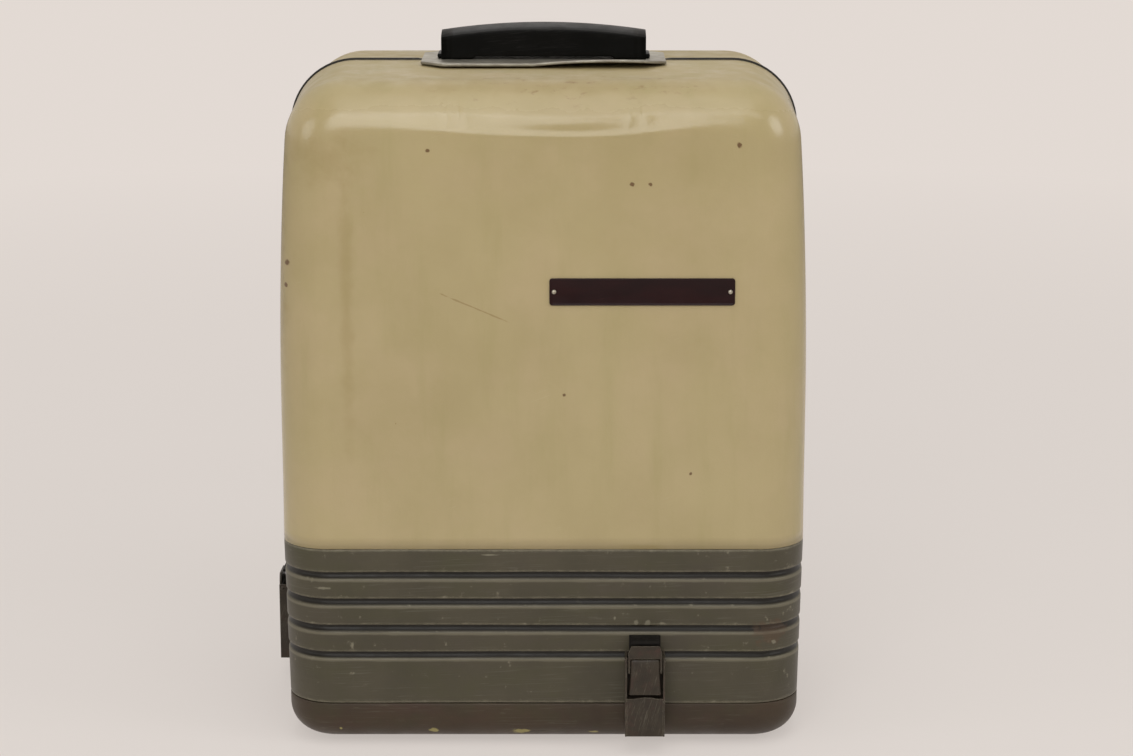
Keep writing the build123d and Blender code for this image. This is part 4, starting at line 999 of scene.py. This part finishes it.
def dome(name, centre, outward, radius, height):
    """A low domed head that stands on a face, its back towards that face."""
    outward = Vector(outward).normalized()
    turn = outward.to_track_quat("Z", "Y").to_matrix()
    rows = []
    for step in range(dome_rings):
        a = pi / 2 * step / dome_rings
        ring = []
        for n in range(dome_sides):
            b = 2 * pi * n / dome_sides
            spot = Vector((radius * cos(a) * cos(b), radius * cos(a) * sin(b), height * sin(a)))
            ring.append(Vector(centre) + turn @ spot)
        rows.append(ring)

    def close(mesh, table):
        """Closes the crown and the back."""
        crown = mesh.verts.new(Vector(centre) + outward * height)
        last = table[-1]
        for n in range(len(last)):
            mesh.faces.new((last[n], last[(n + 1) % len(last)], crown))
        mesh.faces.new(table[0][::-1])

    return from_grid(name, rows, closed=True, extra=close)


rivet_inset = 0.0026
rivet_y = name_low.y + 0.0002
for side, name in ((-1, "left_name_rivet"), (1, "right_name_rivet")):
    centre = (name_x + side * (name_half - rivet_inset), rivet_y, name_z)
    rivet = dome(name, centre, outward=(0, -1, 0), radius=0.0013, height=0.0008)
    dress(rivet, rivet_metal, "cover", "plated_steel", "nameplate_rivets")

# Each draw latch is bent from steel strip and painted with the tray. A spacer behind its
# channel fills the round of the tray. Use has rubbed its edges down to bare steel.
latch_paint = Finish("latch_enamel", (0.038, 0.028, 0.017), Specular_IOR_Level=0.35)
latch_paint.cloud((0.026, 0.019, 0.012), 0.008, softness=0.2)
latch_paint.cloud((0.058, 0.027, 0.019), 0.007, 0.6, cover=0.38, softness=0.12, Shift=8.4)
rubbed = use(latch_paint.tree, "Cloudy patches", Size=0.002, Cover=0.5, Softness=0.2, Shift=5.5)
bare = blend_in(latch_paint.tree, (0.26, 0.23, 0.17), (0.15, 0.12, 0.08), rubbed)
latch_paint.wear(bare, 0.9, 0.0006, 0.40, 0.0025)
latch_paint.scratch((0.13, 0.115, 0.085), 0.5, 0.010, 0.0003, 1.3, 0.5)
latch_paint.finish(0.38, 0.58, 0.005, 0.0009, 0.00006)

front_latch_x = 0.0584
side_latch_y = 0.036
keeper_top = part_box("latch_keepers")[1].z
side_wall = case_half_width - tan(draft) * (side_latch_y - seam_half) - side_lean(keeper_top)
side_turn = Matrix.Rotation(radians(-92), 4, "Z")
latch_places = {
    "front": Matrix.Translation((front_latch_x, -case_half_depth, 0)),
    "side": Matrix.Translation((-side_wall, side_latch_y, 0)) @ side_turn,
}
pivot_z = 0.0573
pivot_y = -0.01185
latch_face = -0.0139
lever_sheet = 0.0011
lever_fold = 0.0011


def lever_section(z, half, face):
    """The bent section of the lever at a height: a flat front with two folded cheeks."""
    points = [(-half, face + 0.0030), (-half, face + lever_fold)]
    for step in range(1, 5):
        a = pi / 2 * step / 5
        points.append((-half + lever_fold * (1 - cos(a)), face + lever_fold * (1 - sin(a))))
    points += [(-half + lever_fold, face), (-half * 0.5, face - 0.00012), (0, face - 0.00018)]
    points += [(-x, y) for x, y in points[-2::-1]]
    return [(x, y, z) for x, y in points]


def make_lever(name):
    """The lever: narrow above and flared at its foot, its face at one depth as it hangs."""
    rows = []
    for z, half, sunk in (
        (0.0372, 0.0093, 0.0003), (0.0375, 0.0093, 0.0001), (0.0380, 0.0092, 0),
        (0.0400, 0.0090, 0), (0.0440, 0.00868, 0), (0.0483, 0.0084, 0), (0.0520, 0.0084, 0),
        (0.0555, 0.0084, 0), (0.0573, 0.0083, 0.0001), (0.0581, 0.0081, 0.0005),
        (0.0585, 0.0078, 0.0010),
    ):
        rows.append(lever_section(z, half, latch_face + sunk))
    lever = from_grid(name, rows)
    if lever.data.polygons[len(lever.data.polygons) // 2].normal.y > 0:
        lever.data.flip_normals()
    return thicken(lever, lever_sheet)


def extruded(name, outline, span, axis):
    """A flat outline carried along an axis between two places, its edges rounded."""
    mesh = bmesh.new()
    ends = []
    for level in span:
        ring = []
        for a, b in outline:
            spot = {"Y": (a, level, b), "Z": (a, b, level), "X": (level, a, b)}[axis]
            ring.append(mesh.verts.new(spot))
        ends.append(ring)
    count = len(outline)
    for n in range(count):
        mesh.faces.new((ends[0][n], ends[0][(n + 1) % count], ends[1][(n + 1) % count], ends[1][n]))
    mesh.faces.new(ends[0][::-1])
    mesh.faces.new(ends[1])
    bmesh.ops.recalc_face_normals(mesh, faces=mesh.faces)
    piece = mesh_object(name, mesh, smooth=False)
    round_edges(piece, 0.0002)
    return piece


bail_outline = [(-0.0097, 0.0503), (-0.0097, 0.0624), (-0.0088, 0.0649), (-0.0079, 0.0666),
                (0.0079, 0.0666), (0.0088, 0.0649), (0.0097, 0.0624), (0.0097, 0.0503),
                (0.0087, 0.0503), (0.0087, 0.0589), (-0.0087, 0.0589), (-0.0087, 0.0503)]
apron_outline = [(-0.0104, 0.0121), (0.0104, 0.0121), (0.0104, 0.0349), (0.0070, 0.0349),
                 (0.0040, 0.0356), (-0.0005, 0.0357), (-0.0040, 0.0352), (-0.0070, 0.0349),
                 (-0.0104, 0.0349)]
channel_outline = [(-0.0114, -0.0004), (-0.0114, -0.0139), (-0.0104, -0.0139), (-0.0104, -0.0014),
                   (0.0104, -0.0014), (0.0104, -0.0139), (0.0114, -0.0139), (0.0114, -0.0004)]
channel_span = (0.0120, 0.0598)
channel_half = 0.0114
spacer_span = (-0.0095, 0.0095)
spacer_low = 0.0122
spacer_top = 0.0266
spacer_curve = 0.0088
spacer_sunk = 0.0010
spacer_outline = [(-0.0005, spacer_top), (-0.0005, spacer_low)]
for step in range(6):
    z = spacer_low + spacer_curve * step / 5
    drop = tray_bottom + tray_edge_radius - z
    depth = tray_edge_radius - sqrt(tray_edge_radius**2 - drop**2) + spacer_sunk
    spacer_outline.append((depth, z))
spacer_outline.append((spacer_sunk, spacer_top))
bail_span = (latch_face, latch_face + 0.0012)
apron_span = (latch_face, latch_face + 0.0010)
for name, place in latch_places.items():
    for piece, body, stands_for in (
        (make_lever(name + "_bent_lever"), name + "_lever", [name + "_latch_lever"]),
        (extruded(name + "_bent_channel", channel_outline, channel_span, "Z"), "tray",
         [name + "_latch_channel"]),
        (extruded(name + "_latch_spacer", spacer_outline, spacer_span, "X"), "tray", []),
        (extruded(name + "_bail", bail_outline, bail_span, "Y"), name + "_link",
         [name + "_latch_link"]),
        (extruded(name + "_latch_apron", apron_outline, apron_span, "Y"), "tray", []),
    ):
        piece.data.transform(place)
        dress(piece, latch_paint, body, "latch_steel", *stands_for)
    for side, end in ((-1, "left"), (1, "right")):
        centre = place @ Vector((side * channel_half, pivot_y, pivot_z))
        outward = place.to_3x3() @ Vector((side, 0, 0))
        head = dome(name + "_pivot_" + end, centre, outward, radius=0.0013, height=0.0006)
        dress(head, latch_paint, "tray", "latch_steel")


# The solids that are right as they stand keep their shape, and each takes its own finish.
# The keepers are near black, painted shade for the dark recess above each lever, and the machine
# inside is cast and painted, plated or turned.
def keep(node, finish):
    """Dresses a solid in place."""
    piece = parts[node]
    for place in piece.material_slots:
        place.material = finish.material


# Near black on the keepers: painted shade for the dark recess above each lever.
keeper_shade_black = Finish("keeper_painted_shade", (0.006, 0.005, 0.004), Specular_IOR_Level=0.2)
keeper_shade_black.cloud((0.011, 0.009, 0.007), 0.004, softness=0.2)
keeper_shade_black.finish(0.55, 0.75, 0.003, 0.0009, 0.00005)


def simple_finish(name, first, second, rough, size, metal=0.0, relief=0.00003, worn=None,
                  skin=0.001):
    """A finish with two tones, uneven gloss, a fine surface and, if asked, worn edges."""
    made = Finish(name, first, Metallic=metal)
    made.cloud(second, size)
    if worn:
        made.wear(worn, 0.8, 0.0005, 0.25, 0.003)
    dust = use(made.tree, "Settled dust", Amount=0.35, Size=0.01)
    made.lay((0.24, 0.22, 0.18), dust, 0.35)
    made.finish(rough * 0.85, rough * 1.2, size / 3, skin, relief)
    return made


# Each row is one finish: its name and slot, its two tones, its roughness, the size of its
# patches, what else it has, and the solids that take it.
for name, slot, first, second, rough, size, more, nodes in (
    ("foot_rubber", "rubber", (0.020, 0.019, 0.018), (0.035, 0.033, 0.030), 0.75, 0.006,
     {"skin": 0.0006}, "rubber_feet"),
    ("crackle_enamel", "casting_paint", (0.085, 0.086, 0.080), (0.065, 0.066, 0.062), 0.5, 0.03,
     {"relief": 0.0002, "worn": (0.35, 0.35, 0.33), "skin": 0.0009},
     "base_housing gear_case mech_plate lens_carrier reel_arms"),
    ("heat_enamel", "lamp_house_paint", (0.135, 0.120, 0.085), (0.105, 0.092, 0.064), 0.45, 0.03,
     {"relief": 0.0001, "worn": (0.30, 0.28, 0.24)}, "lamp_house lamp_door"),
    ("brushed_panel", "panel_sheet", (0.42, 0.42, 0.40), (0.36, 0.36, 0.34), 0.38, 0.02,
     {"metal": 0.9}, "control_panel blower_fan"),
    ("ground_steel", "bright_steel", (0.50, 0.50, 0.49), (0.42, 0.42, 0.41), 0.3, 0.008,
     {"metal": 1.0}, "main_shaft drive_worms drive_mitre_gear shutter_shaft upper_sprocket "
     "lower_sprocket guide_rods supply_spindle takeup_spindle"),
    ("plated_steel", "plated_steel", (0.62, 0.62, 0.61), (0.55, 0.55, 0.53), 0.16, 0.01,
     {"metal": 1.0, "relief": 0.00001}, "handle_legs upper_shoe lower_shoe aperture_plate "
     "pressure_plate lamp_switch motor_switch"),
    ("motor_black", "motor_steel", (0.016, 0.016, 0.016), (0.024, 0.024, 0.023), 0.42, 0.02,
     {"worn": (0.20, 0.19, 0.17)}, "motor"),
    ("matt_black", "shutter_black", (0.012, 0.012, 0.012), (0.018, 0.018, 0.018), 0.6, 0.02,
     {"worn": (0.16, 0.16, 0.15)}, "shutter_disc lens_barrel"),
    ("turned_brass", "brass", (0.52, 0.35, 0.12), (0.40, 0.26, 0.09), 0.3, 0.008,
     {"metal": 1.0}, "inlet_pins upper_worm_wheel lower_worm_wheel"),
    ("dark_phenolic", "moulded_dark", (0.016, 0.013, 0.011), (0.024, 0.019, 0.015), 0.4, 0.01,
     {}, "power_inlet inching_knob upper_roller lower_roller focus_knob lamp_socket speed_knob"),
    ("silvered_mirror", "mirror", (0.80, 0.80, 0.81), (0.74, 0.74, 0.75), 0.06, 0.01,
     {"metal": 1.0, "relief": 0.000002}, "reflector"),
):
    finish = simple_finish(name, first, second, rough, size, **more)
    for node in nodes.split():
        keep(node, finish)
keep("latch_keepers", keeper_shade_black)
keep("locating_rim", brown)

# The lenses and the bulb of the lamp are clear glass with a faint green tint.
glass = Finish("optical_glass", (0.93, 0.96, 0.95), Roughness=0.02, IOR=1.5,
               Transmission_Weight=1.0)
glass.cloud((0.88, 0.93, 0.92), 0.01, softness=0.3)
glass.tree.links.new(glass.colour, glass.shader.inputs["Base Color"])
for node in ("lens_glass", "lamp", "condenser_lens"):
    keep(node, glass)
